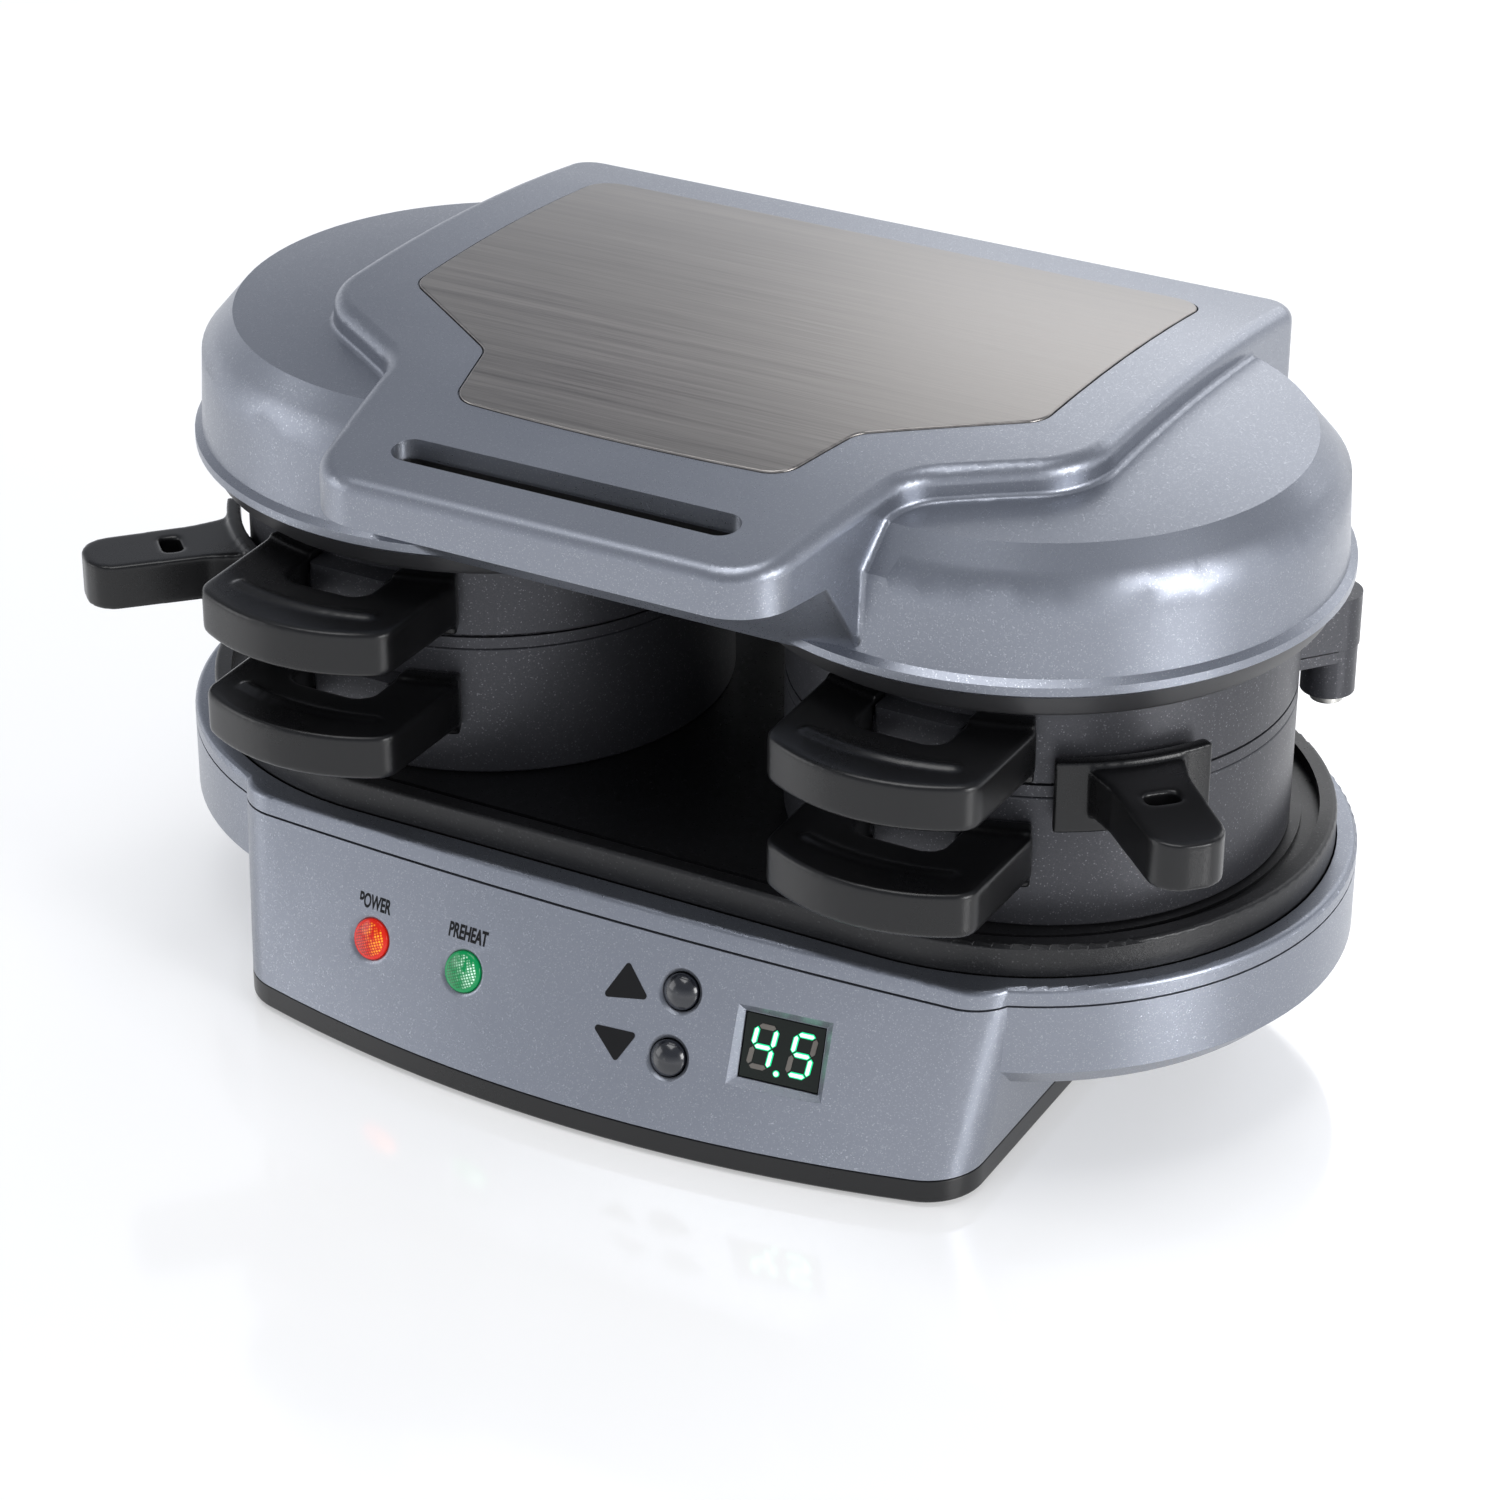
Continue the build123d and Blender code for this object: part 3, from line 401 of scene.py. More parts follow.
displayBlack = startMaterial(
    "displayBlack", "grain",
    {"Base": (0.006, 0.009, 0.007, 1), "Worn": (0.012, 0.022, 0.016, 1), "Grain Scale": 1200.0,
     "Roughness": 0.16, "Smudge": 0.06},
    (0.04, 0.00004), Specular_IOR_Level=0.25)
inkBlack = startMaterial(
    "inkBlack", "grain",
    {"Base": (0.008, 0.008, 0.009, 1), "Worn": (0.014, 0.014, 0.016, 1), "Grain Scale": 3000.0,
     "Roughness": 0.6, "Smudge": 0.08},
    (0.1, 0.00004), Specular_IOR_Level=0.2)
segmentOff = startMaterial(
    "segmentOff", "grain",
    {"Base": (0.15, 0.135, 0.118, 1), "Worn": (0.20, 0.18, 0.16, 1), "Grain Scale": 2600.0,
     "Roughness": 0.45, "Smudge": 0.06},
    (0.05, 0.00004))
segmentGlow = startMaterial(
    "segmentGlow", "grain",
    {"Base": (0.0, 0.30, 0.12, 1), "Worn": (0.0, 0.42, 0.18, 1), "Grain Scale": 2600.0,
     "Roughness": 0.4, "Smudge": 0.06},
    (0.05, 0.00004), Emission_Color=(0.0, 0.75, 0.28, 1), Emission_Strength=1.0)
segmentCore = startMaterial(
    "segmentCore", "grain",
    {"Base": (0.5, 0.9, 0.7, 1), "Worn": (0.6, 1.0, 0.8, 1), "Grain Scale": 2600.0,
     "Roughness": 0.4, "Smudge": 0.06},
    (0.05, 0.00004), Emission_Color=(0.62, 1.0, 0.80, 1), Emission_Strength=1.3)

# the front panel leans between two arcs, in metres; an arc is half width, y at its end, y mid
panelShape = {
    "low": 0.007, "high": 0.051,
    "lowArc": (0.0935, -0.0734, -0.0870),
    "highArc": (0.0990, -0.0656, -0.0684),
    "probe": 0.0005,   # the step that its slope is measured over
}
panelPlaces = {   # x and z of the middle of each
    "powerLens": (-0.0549, 0.0272),
    "preheatLens": (-0.0293, 0.0272),
    "display": (0.0500, 0.0286),
}


def arcY(arc, x):
    half, sideY, midY = arc
    sag = sideY - midY
    radius = (half * half + sag * sag) / (2 * sag)
    return midY + radius - math.sqrt(radius * radius - x * x)


def panelY(x, z):
    share = (z - panelShape["low"]) / (panelShape["high"] - panelShape["low"])
    low, high = arcY(panelShape["lowArc"], x), arcY(panelShape["highArc"], x)
    return low + (high - low) * share


def panelMatrix(x, z):   # x across the panel, y up it, z out of it
    step = panelShape["probe"]
    slopeX = (panelY(x + step, z) - panelY(x - step, z)) / (2 * step)
    slopeZ = (panelY(x, z + step) - panelY(x, z - step)) / (2 * step)
    out = Vector((slopeX, -1, slopeZ)).normalized()
    across = Vector((1, slopeX, 0)).normalized()
    up = out.cross(across)
    made = Matrix((across, up, out)).transposed().to_4x4()
    made.translation = Vector((x, panelY(x, z), z))
    return made


lensShape = {"cellsPerMetre": 1550.0, "radius": 0.0047, "turn": 0.45}


def lensMaterial(name, place, shadeColor, mid, paintedHighlight, strength):
    material = startMaterial(
        name, "cells",
        {"Painted Shade": shadeColor, "Mid": mid, "Painted Highlight": paintedHighlight,
         "Cells Per Metre": lensShape["cellsPerMetre"], "Radius": lensShape["radius"]},
        (0.25, 0.00020), Roughness=0.14, Coat_Weight=0.3, Coat_Roughness=0.05,
        Specular_IOR_Level=0.3, Emission_Strength=strength)
    nodes, links = nodeTree(material.node_tree)
    matrix = panelMatrix(*place)
    turned = matrix.to_3x3() @ Matrix.Rotation(lensShape["turn"], 3, "Z")
    centre = nodes.new("ShaderNodeMapping")   # the pattern lies flat, centred on the lens
    centre.vector_type = "TEXTURE"
    centre.inputs["Location"].default_value = matrix.translation
    centre.inputs["Rotation"].default_value = turned.to_euler()
    group = next(node for node in nodes if node.type == "GROUP")
    coordinates = next(node for node in nodes if node.type == "TEX_COORD")
    links.new(coordinates.outputs["Object"], centre.inputs["Vector"])
    links.new(centre.outputs[0], group.inputs["Vector"])
    links.new(group.outputs["Glow"], nodes["Principled BSDF"].inputs["Emission Color"])
    return material


# each lens: painted shade colour, base tone, painted highlight colour, and how strongly it glows
redLens = lensMaterial(
    "redLens", panelPlaces["powerLens"],
    (0.08, 0.002, 0.001, 1), (0.56, 0.012, 0.003, 1), (1.0, 0.42, 0.02, 1), 0.5)
greenLens = lensMaterial(
    "greenLens", panelPlaces["preheatLens"],
    (0.0, 0.07, 0.02, 1), (0.0, 0.23, 0.065, 1), (0.75, 1.0, 0.85, 1), 0.4)
print("materials ready")

# a carried-over shape is loose triangles: they are merged, and flat areas made whole
mergeLimits = {"doubles": 2e-6, "slivers": 1e-6, "flatAngle": math.radians(0.4)}


def mergedCopy(node, name):
    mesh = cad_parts[node].data.copy()
    mesh.name = name
    form = bmesh.new()
    form.from_mesh(mesh)
    bmesh.ops.remove_doubles(form, verts=form.verts, dist=mergeLimits["doubles"])
    bmesh.ops.dissolve_degenerate(form, edges=form.edges, dist=mergeLimits["slivers"])
    bmesh.ops.dissolve_limit(form, angle_limit=mergeLimits["flatAngle"],
                             verts=form.verts, edges=form.edges)
    form.to_mesh(mesh)
    form.free()
    return placed(name, mesh)


def placed(name, mesh):
    piece = bpy.data.objects.new(name, mesh)
    bpy.context.scene.collection.objects.link(piece)
    return piece


def applied(piece):
    graph = bpy.context.evaluated_depsgraph_get()
    mesh = bpy.data.meshes.new_from_object(piece.evaluated_get(graph))
    old = piece.data
    piece.modifiers.clear()
    piece.data = mesh
    if old.users == 0:
        bpy.data.meshes.remove(old)
    return piece


def smoothed(piece):
    for polygon in piece.data.polygons:
        polygon.use_smooth = True


def finished(piece, body, material, nodes=()):
    piece.data.materials.clear()
    piece.data.materials.append(material)
    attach(piece, body)
    if nodes:
        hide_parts(*nodes)
    return piece


edgeRule = {
    "steps": 2, "fromAngle": math.radians(38), "sharpAngle": math.radians(34), "weight": 100,
}


def brokenEdges(node, name, body, material, width):   # a small bevel catches the light
    piece = mergedCopy(node, name)
    if width:
        bevel = piece.modifiers.new("edge", "BEVEL")
        bevel.width = width
        bevel.segments = edgeRule["steps"]
        bevel.limit_method = "ANGLE"
        bevel.angle_limit = edgeRule["fromAngle"]
        bevel.use_clamp_overlap = True
        bevel.harden_normals = False
        bevel.miter_outer = "MITER_ARC"
        applied(piece)
    smoothed(piece)
    piece.data.set_sharp_from_angle(angle=edgeRule["sharpAngle"])
    weighted = piece.modifiers.new("weighted", "WEIGHTED_NORMAL")
    weighted.keep_sharp = True
    weighted.weight = edgeRule["weight"]
    applied(piece)
    return finished(piece, body, material, [node])


softShape = {"voxel": 0.00055, "factor": 0.5, "passes": 7}


def softEdges(node, name, body, material):   # every edge rounded by about a millimetre
    piece = mergedCopy(node, name)
    form = bmesh.new()
    form.from_mesh(piece.data)
    bmesh.ops.triangulate(form, faces=form.faces)
    form.to_mesh(piece.data)
    form.free()
    remesh = piece.modifiers.new("grid", "REMESH")
    remesh.mode = "VOXEL"
    remesh.voxel_size = softShape["voxel"]
    relax = piece.modifiers.new("relax", "SMOOTH")
    relax.factor = softShape["factor"]
    relax.iterations = softShape["passes"]
    applied(piece)
    smoothed(piece)
    return finished(piece, body, material, [node])


# piece name, body, slot, material, and how far the edges are broken in metres
carried = {
    "base_housing": ("baseHousing", "base", "silver_paint", silverPaint, 0.0004),
    "base_top_frame": ("baseTopFrame", "base", "silver_paint", silverPaint, 0.0003),
    "bottom_cover": ("bottomCover", "base", "black_plastic", satinBlack, 0.0003),
    "rubber_feet": ("rubberFeet", "base", "rubber", softRubber, 0.0005),
    "heating_tray": ("heatingTray", "base", "tray_coating", trayBlack, 0.0003),
    "thermostats": ("thermostats", "base", "steel", zincSteel, 0.0002),
    "power_lens": ("powerLens", "base", "red_lens", redLens, 0.0002),
    "preheat_lens": ("preheatLens", "base", "green_lens", greenLens, 0.0002),
    "up_button": ("upButton", "up_button", "button_black", buttonBlack, 0.0002),
    "down_button": ("downButton", "down_button", "button_black", buttonBlack, 0.0002),
    "control_board": ("controlBoard", "base", "circuit_board", boardGreen, 0.0),
    "button_switches": ("buttonSwitches", "base", "black_plastic", satinBlack, 0.0002),
    "display_module": ("displayModule", "base", "display", displayBlack, 0.0002),
    "cord_gland": ("cordGland", "base", "rubber", softRubber, 0.0005),
    "hinge_bracket": ("hingeBracket", "base", "steel", zincSteel, 0.0003),
    "hinge_pin": ("hingePin", "base", "steel", zincSteel, 0.0003),
    "lid_shell": ("lidShell", "lid", "silver_paint", silverPaint, 0.0006),
    "lid_steel_plate": ("lidSteelPlate", "lid", "brushed_steel", brushedSteel, 0.0),
    "lid_inner_plate": ("lidInnerPlate", "lid", "dark_plastic", darkPlastic, 0.0003),
}
for side in ("left", "right"):
    upperLeaf, lowerLeaf, eggSlide = f"{side}_upper_leaf", f"{side}_lower_leaf", f"{side}_egg_slide"
    carried.update({
        f"{side}_bottom_plate": (f"{side}BottomPlate", "base", "nonstick", nonstick, 0.0002),
        f"{side}_bottom_element": (f"{side}BottomElement", "base", "element", dullSheath, 0.0),
        f"{side}_top_plate": (f"{side}TopPlate", "lid", "nonstick", nonstick, 0.0002),
        f"{side}_top_element": (f"{side}TopElement", "lid", "element", dullSheath, 0.0),
        f"{side}_upper_ring": (f"{side}UpperRing", upperLeaf, "nonstick", nonstick, 0.0002),
        f"{side}_lower_ring": (f"{side}LowerRing", lowerLeaf, "nonstick", nonstick, 0.0002),
        f"{side}_egg_plate": (f"{side}EggPlate", eggSlide, "nonstick", nonstick, 0.0002),
        f"{side}_pivot_pin": (f"{side}PivotPin", upperLeaf, "steel", zincSteel, 0.0002),
    })
for node, (name, body, slot, material, width) in carried.items():
    brokenEdges(node, name, body, material, width)
for side in ("left", "right"):
    for node, name, body in (("upper_handle", "UpperHandle", "upper_leaf"),
                             ("lower_handle", "LowerHandle", "lower_leaf"),
                             ("egg_lever", "EggLever", "egg_slide")):
        softEdges(f"{side}_{node}", side + name, f"{side}_{body}", satinBlack)
print("carried-over pieces ready")


def formMesh(name, form):
    bmesh.ops.recalc_face_normals(form, faces=form.faces)
    mesh = bpy.data.meshes.new(name)
    form.to_mesh(mesh)
    form.free()
    return mesh


def shapePiece(name, form, matrix=Matrix.Identity(4)):
    mesh = formMesh(name, form)
    mesh.transform(matrix)
    return placed(name, mesh)


def prism(form, outline, low, high):
    lower = [form.verts.new((x, y, low)) for x, y in outline]
    upper = [form.verts.new((x, y, high)) for x, y in outline]
    form.faces.new(upper)
    form.faces.new(list(reversed(lower)))
    count = len(outline)
    for i in range(count):
        form.faces.new((lower[i], lower[(i + 1) % count], upper[(i + 1) % count], upper[i]))


# two-digit display: a dark segment, or a green glow with a pale core, leaning to the right
digitShape = {
    "halfWide": 0.00225, "halfHigh": 0.0046, "thick": 0.00130, "gap": 0.00022,
    "slant": 0.13, "raise": -0.00176, "depth": 0.00022, "sunk": 0.0001,
    "glowShare": 0.6, "coreShrink": 0.00026, "darkShrink": 0.00008,
    "first": (-0.0046, 0.0002), "second": (0.0046, 0.0002),
    "point": (-0.0007, -0.0050), "pointRadius": 0.00075, "pointShrink": 0.00022, "pointSides": 24,
}
segmentEnds = {   # in half widths and half heights
    "a": ((-1, 1), (1, 1)), "b": ((1, 1), (1, 0)), "c": ((1, 0), (1, -1)), "d": ((-1, -1), (1, -1)),
    "e": ((-1, 0), (-1, -1)), "f": ((-1, 1), (-1, 0)), "g": ((-1, 0), (1, 0)),
}
litSegments = {"first": "fgbc", "second": "afgcd"}


def segmentOutline(letter, centre, shrink):
    half = digitShape["thick"] / 2 - shrink
    start, end = (Vector((x * digitShape["halfWide"], y * digitShape["halfHigh"]))
                  for x, y in segmentEnds[letter])
    along = (end - start).normalized()
    side = Vector((-along.y, along.x))
    trim = along * (digitShape["gap"] + shrink)
    start, end = start + trim, end - trim
    points = [start, start + along * half - side * half, end - along * half - side * half,
              end, end - along * half + side * half, start + along * half + side * half]
    return [(point.x + point.y * digitShape["slant"] + centre[0], point.y + centre[1])
            for point in points]


def makeDigits():
    dark, glow, core = bmesh.new(), bmesh.new(), bmesh.new()
    low = digitShape["raise"] - digitShape["sunk"]
    glowTop = digitShape["raise"] + digitShape["glowShare"] * digitShape["depth"]
    coreTop = digitShape["raise"] + digitShape["depth"]
    for key, lit in litSegments.items():
        centre = digitShape[key]
        for letter in segmentEnds:
            if letter in lit:
                prism(glow, segmentOutline(letter, centre, 0.0), low, glowTop)
                coreOutline = segmentOutline(letter, centre, digitShape["coreShrink"])
                prism(core, coreOutline, low, coreTop)
            else:
                darkOutline = segmentOutline(letter, centre, digitShape["darkShrink"])
                prism(dark, darkOutline, low, glowTop)
    x, y = digitShape["point"]
    sides = digitShape["pointSides"]
    for form, shrink, top in ((glow, 0.0, glowTop), (core, digitShape["pointShrink"], coreTop)):
        radius = digitShape["pointRadius"] - shrink
        ring = [(x + radius * math.cos(math.tau * i / sides),
                 y + radius * math.sin(math.tau * i / sides)) for i in range(sides)]
        prism(form, ring, low, top)
    matrix = panelMatrix(*panelPlaces["display"])
    for name, form, material in (("digitDark", dark, segmentOff), ("digitGlow", glow, segmentGlow),
                                 ("digitCore", core, segmentCore)):
        finished(shapePiece(name, form, matrix), "base", material)


makeDigits()

# a thin dark lining inside the slot of the lid's handle: painted shade on the slot's walls
shadeLiningShape = {
    "half": 0.0372, "radius": 0.00425, "middleY": -0.0786,
    "low": 0.1417, "high": 0.1502, "wall": 0.0003, "endSteps": 10,
}


def slotLoop(radius, z):
    steps = shadeLiningShape["endSteps"]
    loop = []
    for sign in (1, -1):
        for i in range(steps + 1):
            angle = math.pi * i / steps - math.pi / 2
            loop.append((sign * (shadeLiningShape["half"] + radius * math.cos(angle)),
                         shadeLiningShape["middleY"] + sign * radius * math.sin(angle), z))
    return loop


def makeSlotShadeLining():
    outer, low, high = shadeLiningShape["radius"], shadeLiningShape["low"], shadeLiningShape["high"]
    inner = outer - shadeLiningShape["wall"]
    form = bmesh.new()
    rings = [[form.verts.new(point) for point in slotLoop(radius, z)]
             for radius, z in ((outer, low), (outer, high), (inner, high), (inner, low))]
    count = len(rings[0])
    for here, there in zip(rings, rings[1:] + rings[:1]):
        for i in range(count):
            after = (i + 1) % count
            form.faces.new((here[i], here[after], there[after], there[i]))
    # painted shade: the slot's walls are covered in black
    finished(shapePiece("slotSleeve", form), "lid", satinBlack)


makeSlotShadeLining()

# printed marks on the panel: two triangles and a word over each lamp
markShape = {
    "thick": 0.00010, "sunk": 0.00005, "corner": 0.0007, "cornerSteps": 6, "growth": 1.16,
    "up": ((0.0072, 0.0315), (0.0170, 0.0331), (0.0114, 0.0389)),
    "down": ((0.0060, 0.0248), (0.0124, 0.0192), (0.0159, 0.0252)),
    "letterHigh": 0.0031, "letterSqueeze": 0.58, "lift": 0.0080,
    "capShare": 0.72,    # a capital's height, as a share of the type size
    "bolder": 0.03, "typeDepth": 0.02, "merge": 1e-4,
}
lampWords = {"powerLens": "POWER", "preheatLens": "PREHEAT"}


def roundedCorners(points, radius):
    steps = markShape["cornerSteps"]
    rounded = []
    for i, corner in enumerate(points):
        here = Vector(corner)
        before = (Vector(points[i - 1]) - here).normalized()
        after = (Vector(points[(i + 1) % len(points)]) - here).normalized()
        half = before.angle(after) / 2
        reach = radius / math.tan(half)
        centre = here + (before + after).normalized() * (radius / math.sin(half))
        start, end = here + before * reach - centre, here + after * reach - centre
        swing = start.angle_signed(end)
        for k in range(steps + 1):
            turned = start.copy()
            turned.rotate(Matrix.Rotation(-swing * k / steps, 2))
            rounded.append(tuple(centre + turned))
    return rounded


def onPanel(form):   # x and y are read as x and z on the panel, z as the height above it
    for vert in form.verts:
        x, z, out = vert.co.x, vert.co.y, vert.co.z
        matrix = panelMatrix(x, z)
        vert.co = matrix.translation + matrix.to_3x3() @ Vector((0, 0, out))


def printed(name, form):
    onPanel(form)
    finished(shapePiece(name, form), "base", inkBlack)


def makeArrows():
    form = bmesh.new()
    for key in ("up", "down"):
        corners = [Vector(point) for point in markShape[key]]
        middle = sum(corners, Vector((0, 0))) / 3
        grown = [middle + (corner - middle) * markShape["growth"] for corner in corners]
        outline = roundedCorners(grown, markShape["corner"])
        prism(form, outline, -markShape["sunk"], markShape["thick"])
    printed("timerArrows", form)


def wordMesh(word):
    text = bpy.data.curves.new("label", "FONT")
    text.body = word
    text.align_x = "CENTER"
    text.align_y = "CENTER"
    text.size = 1.0
    text.extrude = markShape["typeDepth"]
    text.offset = markShape["bolder"]
    holder = placed("label", text)
    graph = bpy.context.evaluated_depsgraph_get()
    mesh = bpy.data.meshes.new_from_object(holder.evaluated_get(graph))
    bpy.data.objects.remove(holder)
    return mesh


def makeWord(key, word):
    form = bmesh.new()
    form.from_mesh(wordMesh(word))
    bmesh.ops.remove_doubles(form, verts=form.verts, dist=markShape["merge"])
    size = markShape["letterHigh"] / markShape["capShare"]
    x, z = panelPlaces[key]
    for vert in form.verts:
        vert.co = Vector((x + vert.co.x * size * markShape["letterSqueeze"],
                          z + markShape["lift"] + vert.co.y * size,
                          markShape["thick"] if vert.co.z > 0 else -markShape["sunk"]))
    printed(key + "Label", form)


makeArrows()
for key, word in lampWords.items():
    makeWord(key, word)
print("panel marks ready")

# cross-head screw; lengths are shares of the head's radius, heights shares of the head's height
screwShape = {
    "sides": 24, "crown": (0.80, 0.0), "shoulder": (0.95, 0.18), "side": 0.45, "point": 0.6,
    "armHalf": 0.13, "armLong": 0.62, "crossDeep": 0.42, "crossAbove": 0.3,
    "sharpAngle": math.radians(30),
}


def screwProfile(headRadius, headHigh, shankRadius, shankLong):   # from the top middle down
    crown, shoulder = screwShape["crown"], screwShape["shoulder"]
    return [(0.0, 0.0), (headRadius * crown[0], -headHigh * crown[1]),
            (headRadius * shoulder[0], -headHigh * shoulder[1]),
            (headRadius, -headHigh * screwShape["side"]), (headRadius, -headHigh),
            (shankRadius, -headHigh), (shankRadius, -headHigh - shankLong),
            (0.0, -headHigh - shankLong - shankRadius * screwShape["point"])]


def crossMesh(headRadius):
    form = bmesh.new()
    wide = headRadius * screwShape["armHalf"]
    far = headRadius * screwShape["armLong"]
    outline = [(wide, -far), (wide, -wide), (far, -wide), (far, wide), (wide, wide), (wide, far),
               (-wide, far), (-wide, wide), (-far, wide), (-far, -wide), (-wide, -wide),
               (-wide, -far)]
    prism(form, outline, -headRadius * screwShape["crossDeep"],
          headRadius * screwShape["crossAbove"])
    return formMesh("crossCutter", form)


def screwRing(form, radius, z):
    if radius == 0.0:
        return [form.verts.new((0, 0, z))]
    sides = screwShape["sides"]
    return [form.verts.new((radius * math.cos(math.tau * i / sides),
                            radius * math.sin(math.tau * i / sides), z)) for i in range(sides)]


def crossHeadScrew(headRadius, headHigh, shankRadius, shankLong):
    form = bmesh.new()
    rings = [screwRing(form, radius, z)
             for radius, z in screwProfile(headRadius, headHigh, shankRadius, shankLong)]
    sides = screwShape["sides"]
    for upper, lower in zip(rings, rings[1:]):
        for i in range(sides):
            after = (i + 1) % sides
            if len(upper) == 1:
                form.faces.new((upper[0], lower[i], lower[after]))
            elif len(lower) == 1:
                form.faces.new((upper[i], lower[0], upper[after]))
            else:
                form.faces.new((upper[i], lower[i], lower[after], upper[after]))
    mesh = formMesh("screwBlank", form)
    cutter = placed("crossCutter", crossMesh(headRadius))
    blank = placed("screwBlank", mesh)
    cut = blank.modifiers.new("cross", "BOOLEAN")
    cut.operation = "DIFFERENCE"
    cut.object = cutter
    cut.solver = "EXACT"
    applied(blank)
    bpy.data.objects.remove(cutter)
    return blank


screwSockets = {
    "Geometry": "NodeSocketGeometry", "Screw": "NodeSocketObject", "Turn Seed": "NodeSocketInt",
    "Flip": "NodeSocketFloat", "Material": "NodeSocketMaterial",
}


def screwTree():   # one screw on each point, turned by a seeded chance
    tree = bpy.data.node_groups.new("screwsOnPoints", "GeometryNodeTree")
    for title, kind in screwSockets.items():
        tree.interface.new_socket(name=title, in_out="INPUT", socket_type=kind)
    tree.interface.new_socket(name="Geometry", in_out="OUTPUT", socket_type="NodeSocketGeometry")
    nodes, links = nodeTree(tree)
    first, last = nodes.new("NodeGroupInput"), nodes.new("NodeGroupOutput")
    points = nodes.new("GeometryNodeMeshToPoints")
    thing = nodes.new("GeometryNodeObjectInfo")
    chance = nodes.new("FunctionNodeRandomValue")
    turn = nodes.new("ShaderNodeCombineXYZ")
    place = nodes.new("GeometryNodeInstanceOnPoints")
    real = nodes.new("GeometryNodeRealizeInstances")
    paint = nodes.new("GeometryNodeSetMaterial")
    chance.data_type = "FLOAT"
    low, high = [socket for socket in chance.inputs
                 if socket.type == "VALUE" and socket.name in ("Min", "Max")][:2]
    low.default_value, high.default_value = 0.0, math.tau
    links.new(first.outputs["Geometry"], points.inputs["Mesh"])
    links.new(first.outputs["Screw"], thing.inputs["Object"])
    links.new(first.outputs["Turn Seed"], chance.inputs["Seed"])
    value = next(socket for socket in chance.outputs if socket.type == "VALUE" and socket.enabled)
    links.new(value, turn.inputs["Z"])
    links.new(first.outputs["Flip"], turn.inputs["X"])
    links.new(points.outputs[0], place.inputs["Points"])
    links.new(thing.outputs["Geometry"], place.inputs["Instance"])
    links.new(turn.outputs[0], place.inputs["Rotation"])
    links.new(place.outputs[0], real.inputs[0])
    links.new(real.outputs[0], paint.inputs["Geometry"])
    links.new(first.outputs["Material"], paint.inputs["Material"])
    links.new(paint.outputs[0], last.inputs[0])
    return tree


screwNodes = screwTree()
# heads face down; piece name, body, head radius and height, shank radius and length, seed
screwSets = {
    "cover_screws": ("coverScrews", "base", 0.0036, 0.0020, 0.0017, 0.0105, 11),
    "lid_screws": ("lidScrews", "lid", 0.0034, 0.0022, 0.0015, 0.0200, 12),
    "left_upper_screws": ("leftUpperScrews", "left_upper_leaf", 0.0026, 0.0018, 0.0014, 0.0040, 13),
    "left_lower_screws": ("leftLowerScrews", "left_lower_leaf", 0.0026, 0.0018, 0.0014, 0.0040, 14),
    "right_upper_screws":
        ("rightUpperScrews", "right_upper_leaf", 0.0026, 0.0018, 0.0014, 0.0040, 15),
    "right_lower_screws":
        ("rightLowerScrews", "right_lower_leaf", 0.0026, 0.0018, 0.0014, 0.0040, 16),
}


def screwPoints(node, headRadius):   # a point at each screw: four corners, or two in one row
    low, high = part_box(node)
    xs = (low.x + headRadius, high.x - headRadius)
    ys = (low.y + headRadius, high.y - headRadius)
    if high.y - low.y < 3 * headRadius:
        ys = ((low.y + high.y) / 2,)
    return [(x, y, low.z) for x in xs for y in ys]


def makeScrews(node, name, body, headRadius, headHigh, shankRadius, shankLong, seed):
    mesh = bpy.data.meshes.new(name)
    mesh.from_pydata(screwPoints(node, headRadius), [], [])
    piece = placed(name, mesh)
    screw = crossHeadScrew(headRadius, headHigh, shankRadius, shankLong)
    build = piece.modifiers.new("screws", "NODES")
    build.node_group = screwNodes
    values = {"Screw": screw, "Turn Seed": seed, "Flip": math.pi, "Material": zincSteel}
    for item in screwNodes.interface.items_tree:
        if item.in_out == "INPUT" and item.name in values:
            build[item.identifier] = values[item.name]
    applied(piece)
    bpy.data.objects.remove(screw)
    smoothed(piece)
    piece.data.set_sharp_from_angle(angle=screwShape["sharpAngle"])
    finished(piece, body, zincSteel, [node])


for node, values in screwSets.items():
    makeScrews(node, *values)
print("screws ready")

# a pale, glossy floor
floorLook = {
    "half": 12.0, "color": (0.80, 0.80, 0.80, 1), "roughness": 0.09, "ior": 2.3,
    "glow": (1, 1, 1, 1), "glowStrength": 0.36,
}


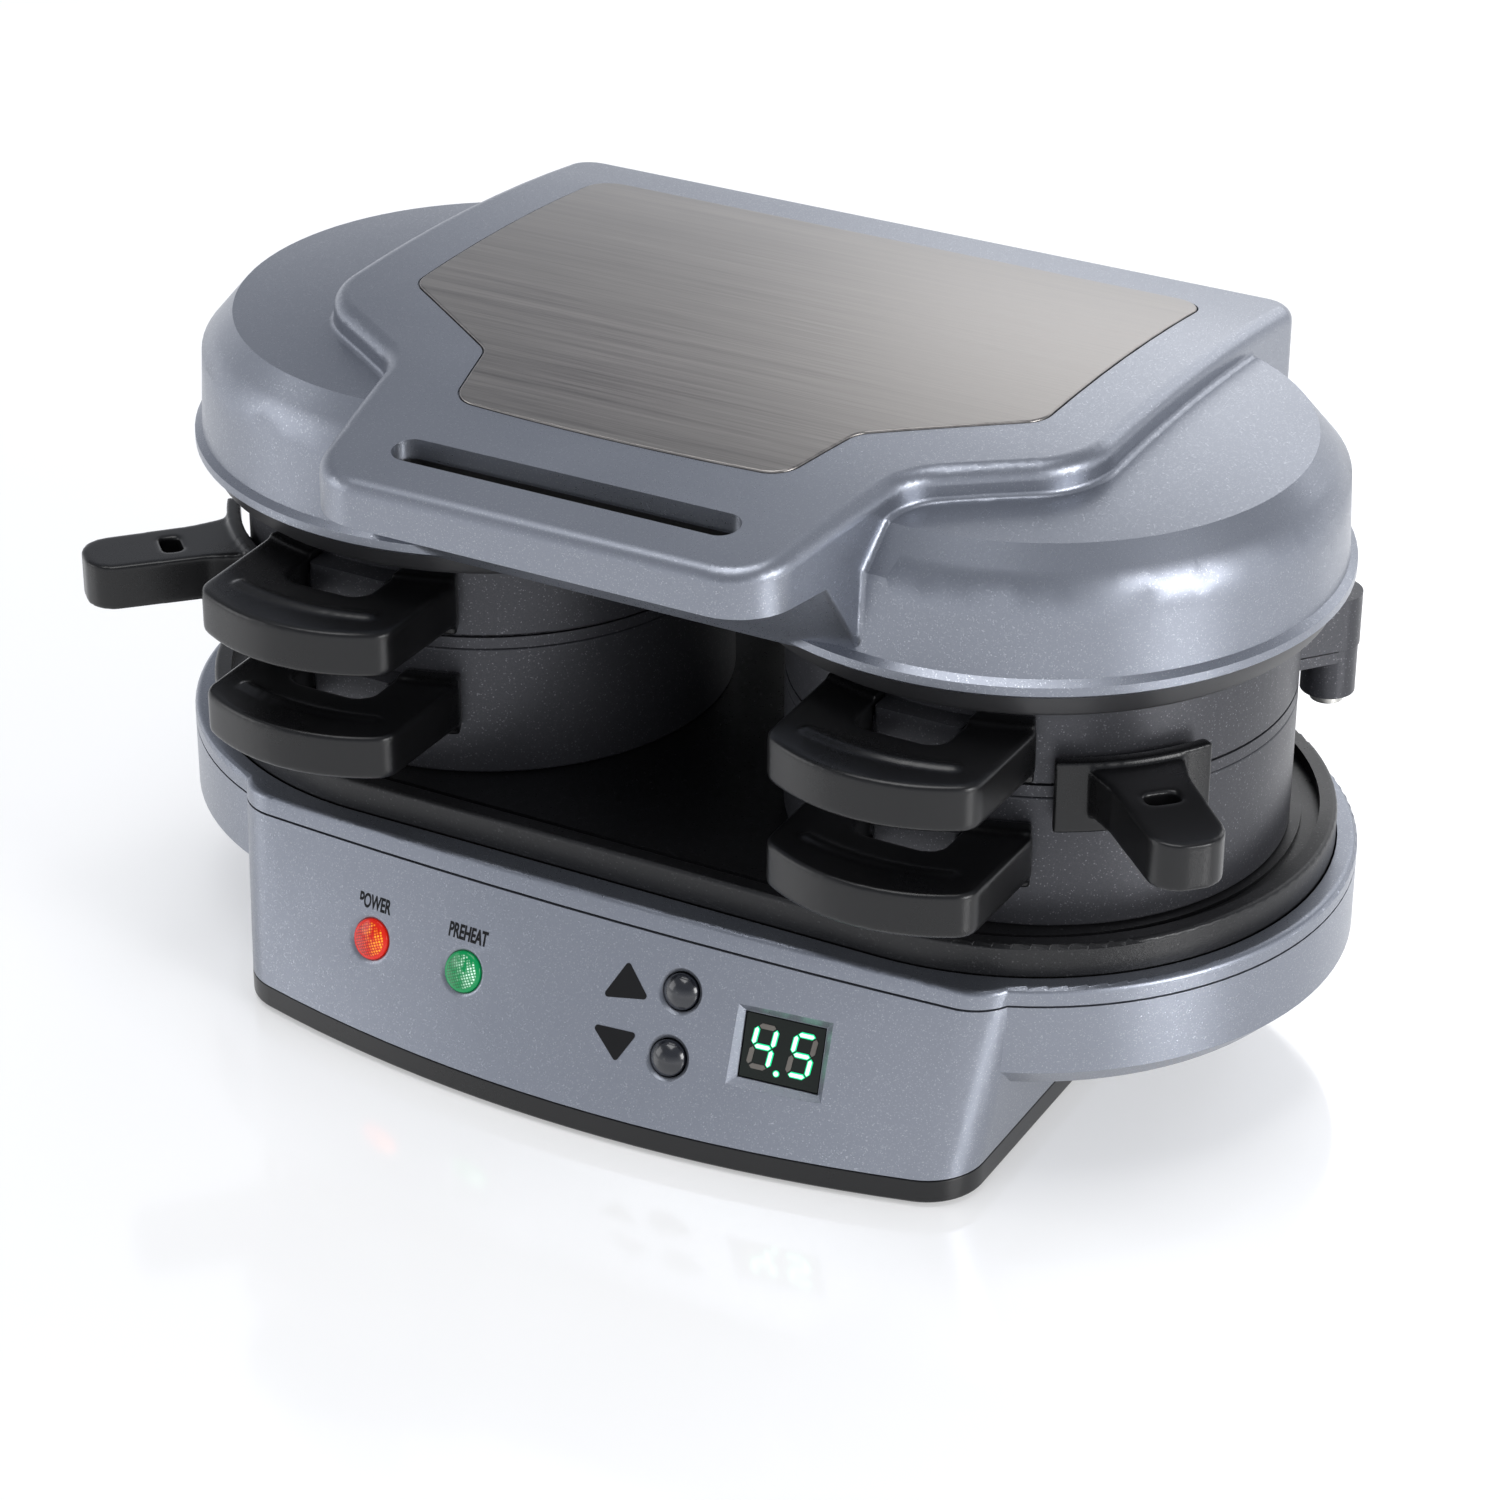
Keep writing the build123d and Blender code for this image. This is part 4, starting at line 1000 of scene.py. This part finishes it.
def makeFloor():
    material = bpy.data.materials.new("paleFloor")
    material.use_nodes = True
    shader = material.node_tree.nodes["Principled BSDF"]
    for title, key in (("Base Color", "color"), ("Roughness", "roughness"), ("IOR", "ior"),
                       ("Emission Color", "glow"), ("Emission Strength", "glowStrength")):
        shader.inputs[title].default_value = floorLook[key]
    mesh = bpy.data.meshes.new("floor")
    half = floorLook["half"]
    corners = [(-half, -half, 0), (half, -half, 0), (half, half, 0), (-half, half, 0)]
    mesh.from_pydata(corners, [], [(0, 1, 2, 3)])
    floor = placed("floor", mesh)
    floor.data.materials.append(material)


# the sky is pale at the horizon and greyer above; each step is a height and a colour
skyLook = {
    "steps": ((0.06, (0.90, 0.92, 0.97, 1)), (0.50, (0.30, 0.315, 0.35, 1))),
    "strength": 1.02,
}
lamps = {
    "rearSoftbox": {"place": (0.10, 0.95, 0.62), "aim": (0.04, 0, 0.12),
                    "size": (1.15, 0.6), "power": 3.4},
    "topSoftbox": {"place": (-0.1, -0.2, 1.5), "aim": (0, 0, 0.1),
                   "size": (0.9, 0.9), "power": 9.0},
    "leftSoftbox": {"place": (-1.25, -0.75, 0.55), "aim": (0, 0, 0.08),
                    "size": (0.8, 0.8), "power": 3.5},
    "rightStrip": {"place": (1.15, -0.25, 0.45), "aim": (0.05, 0, 0.06),
                   "size": (0.5, 0.5), "power": 7.0},
}


def makeSky():
    world = bpy.data.worlds.new("studio")
    world.use_nodes = True
    nodes, links = nodeTree(world.node_tree)
    background = nodes["Background"]
    place = nodes.new("ShaderNodeTexCoord")
    axes = nodes.new("ShaderNodeSeparateXYZ")
    ramp = nodes.new("ShaderNodeValToRGB")
    links.new(place.outputs["Generated"], axes.inputs[0])
    links.new(axes.outputs[2], ramp.inputs[0])
    links.new(ramp.outputs[0], background.inputs["Color"])
    for stop, (height, color) in zip(ramp.color_ramp.elements, skyLook["steps"]):
        stop.position = height
        stop.color = color
    background.inputs["Strength"].default_value = skyLook["strength"]
    bpy.context.scene.world = world


def makeLamps():
    for name, lamp in lamps.items():
        data = bpy.data.lights.new(name, "AREA")
        data.shape = "RECTANGLE"
        data.size, data.size_y = lamp["size"]
        data.energy = lamp["power"]
        holder = placed(name, data)
        holder.location = lamp["place"]
        away = Vector(lamp["aim"]) - Vector(lamp["place"])
        holder.rotation_euler = away.to_track_quat("-Z", "Y").to_euler()


makeFloor()
makeSky()
makeLamps()
bpy.context.scene.view_settings.view_transform = "Standard"
print("floor and light ready")
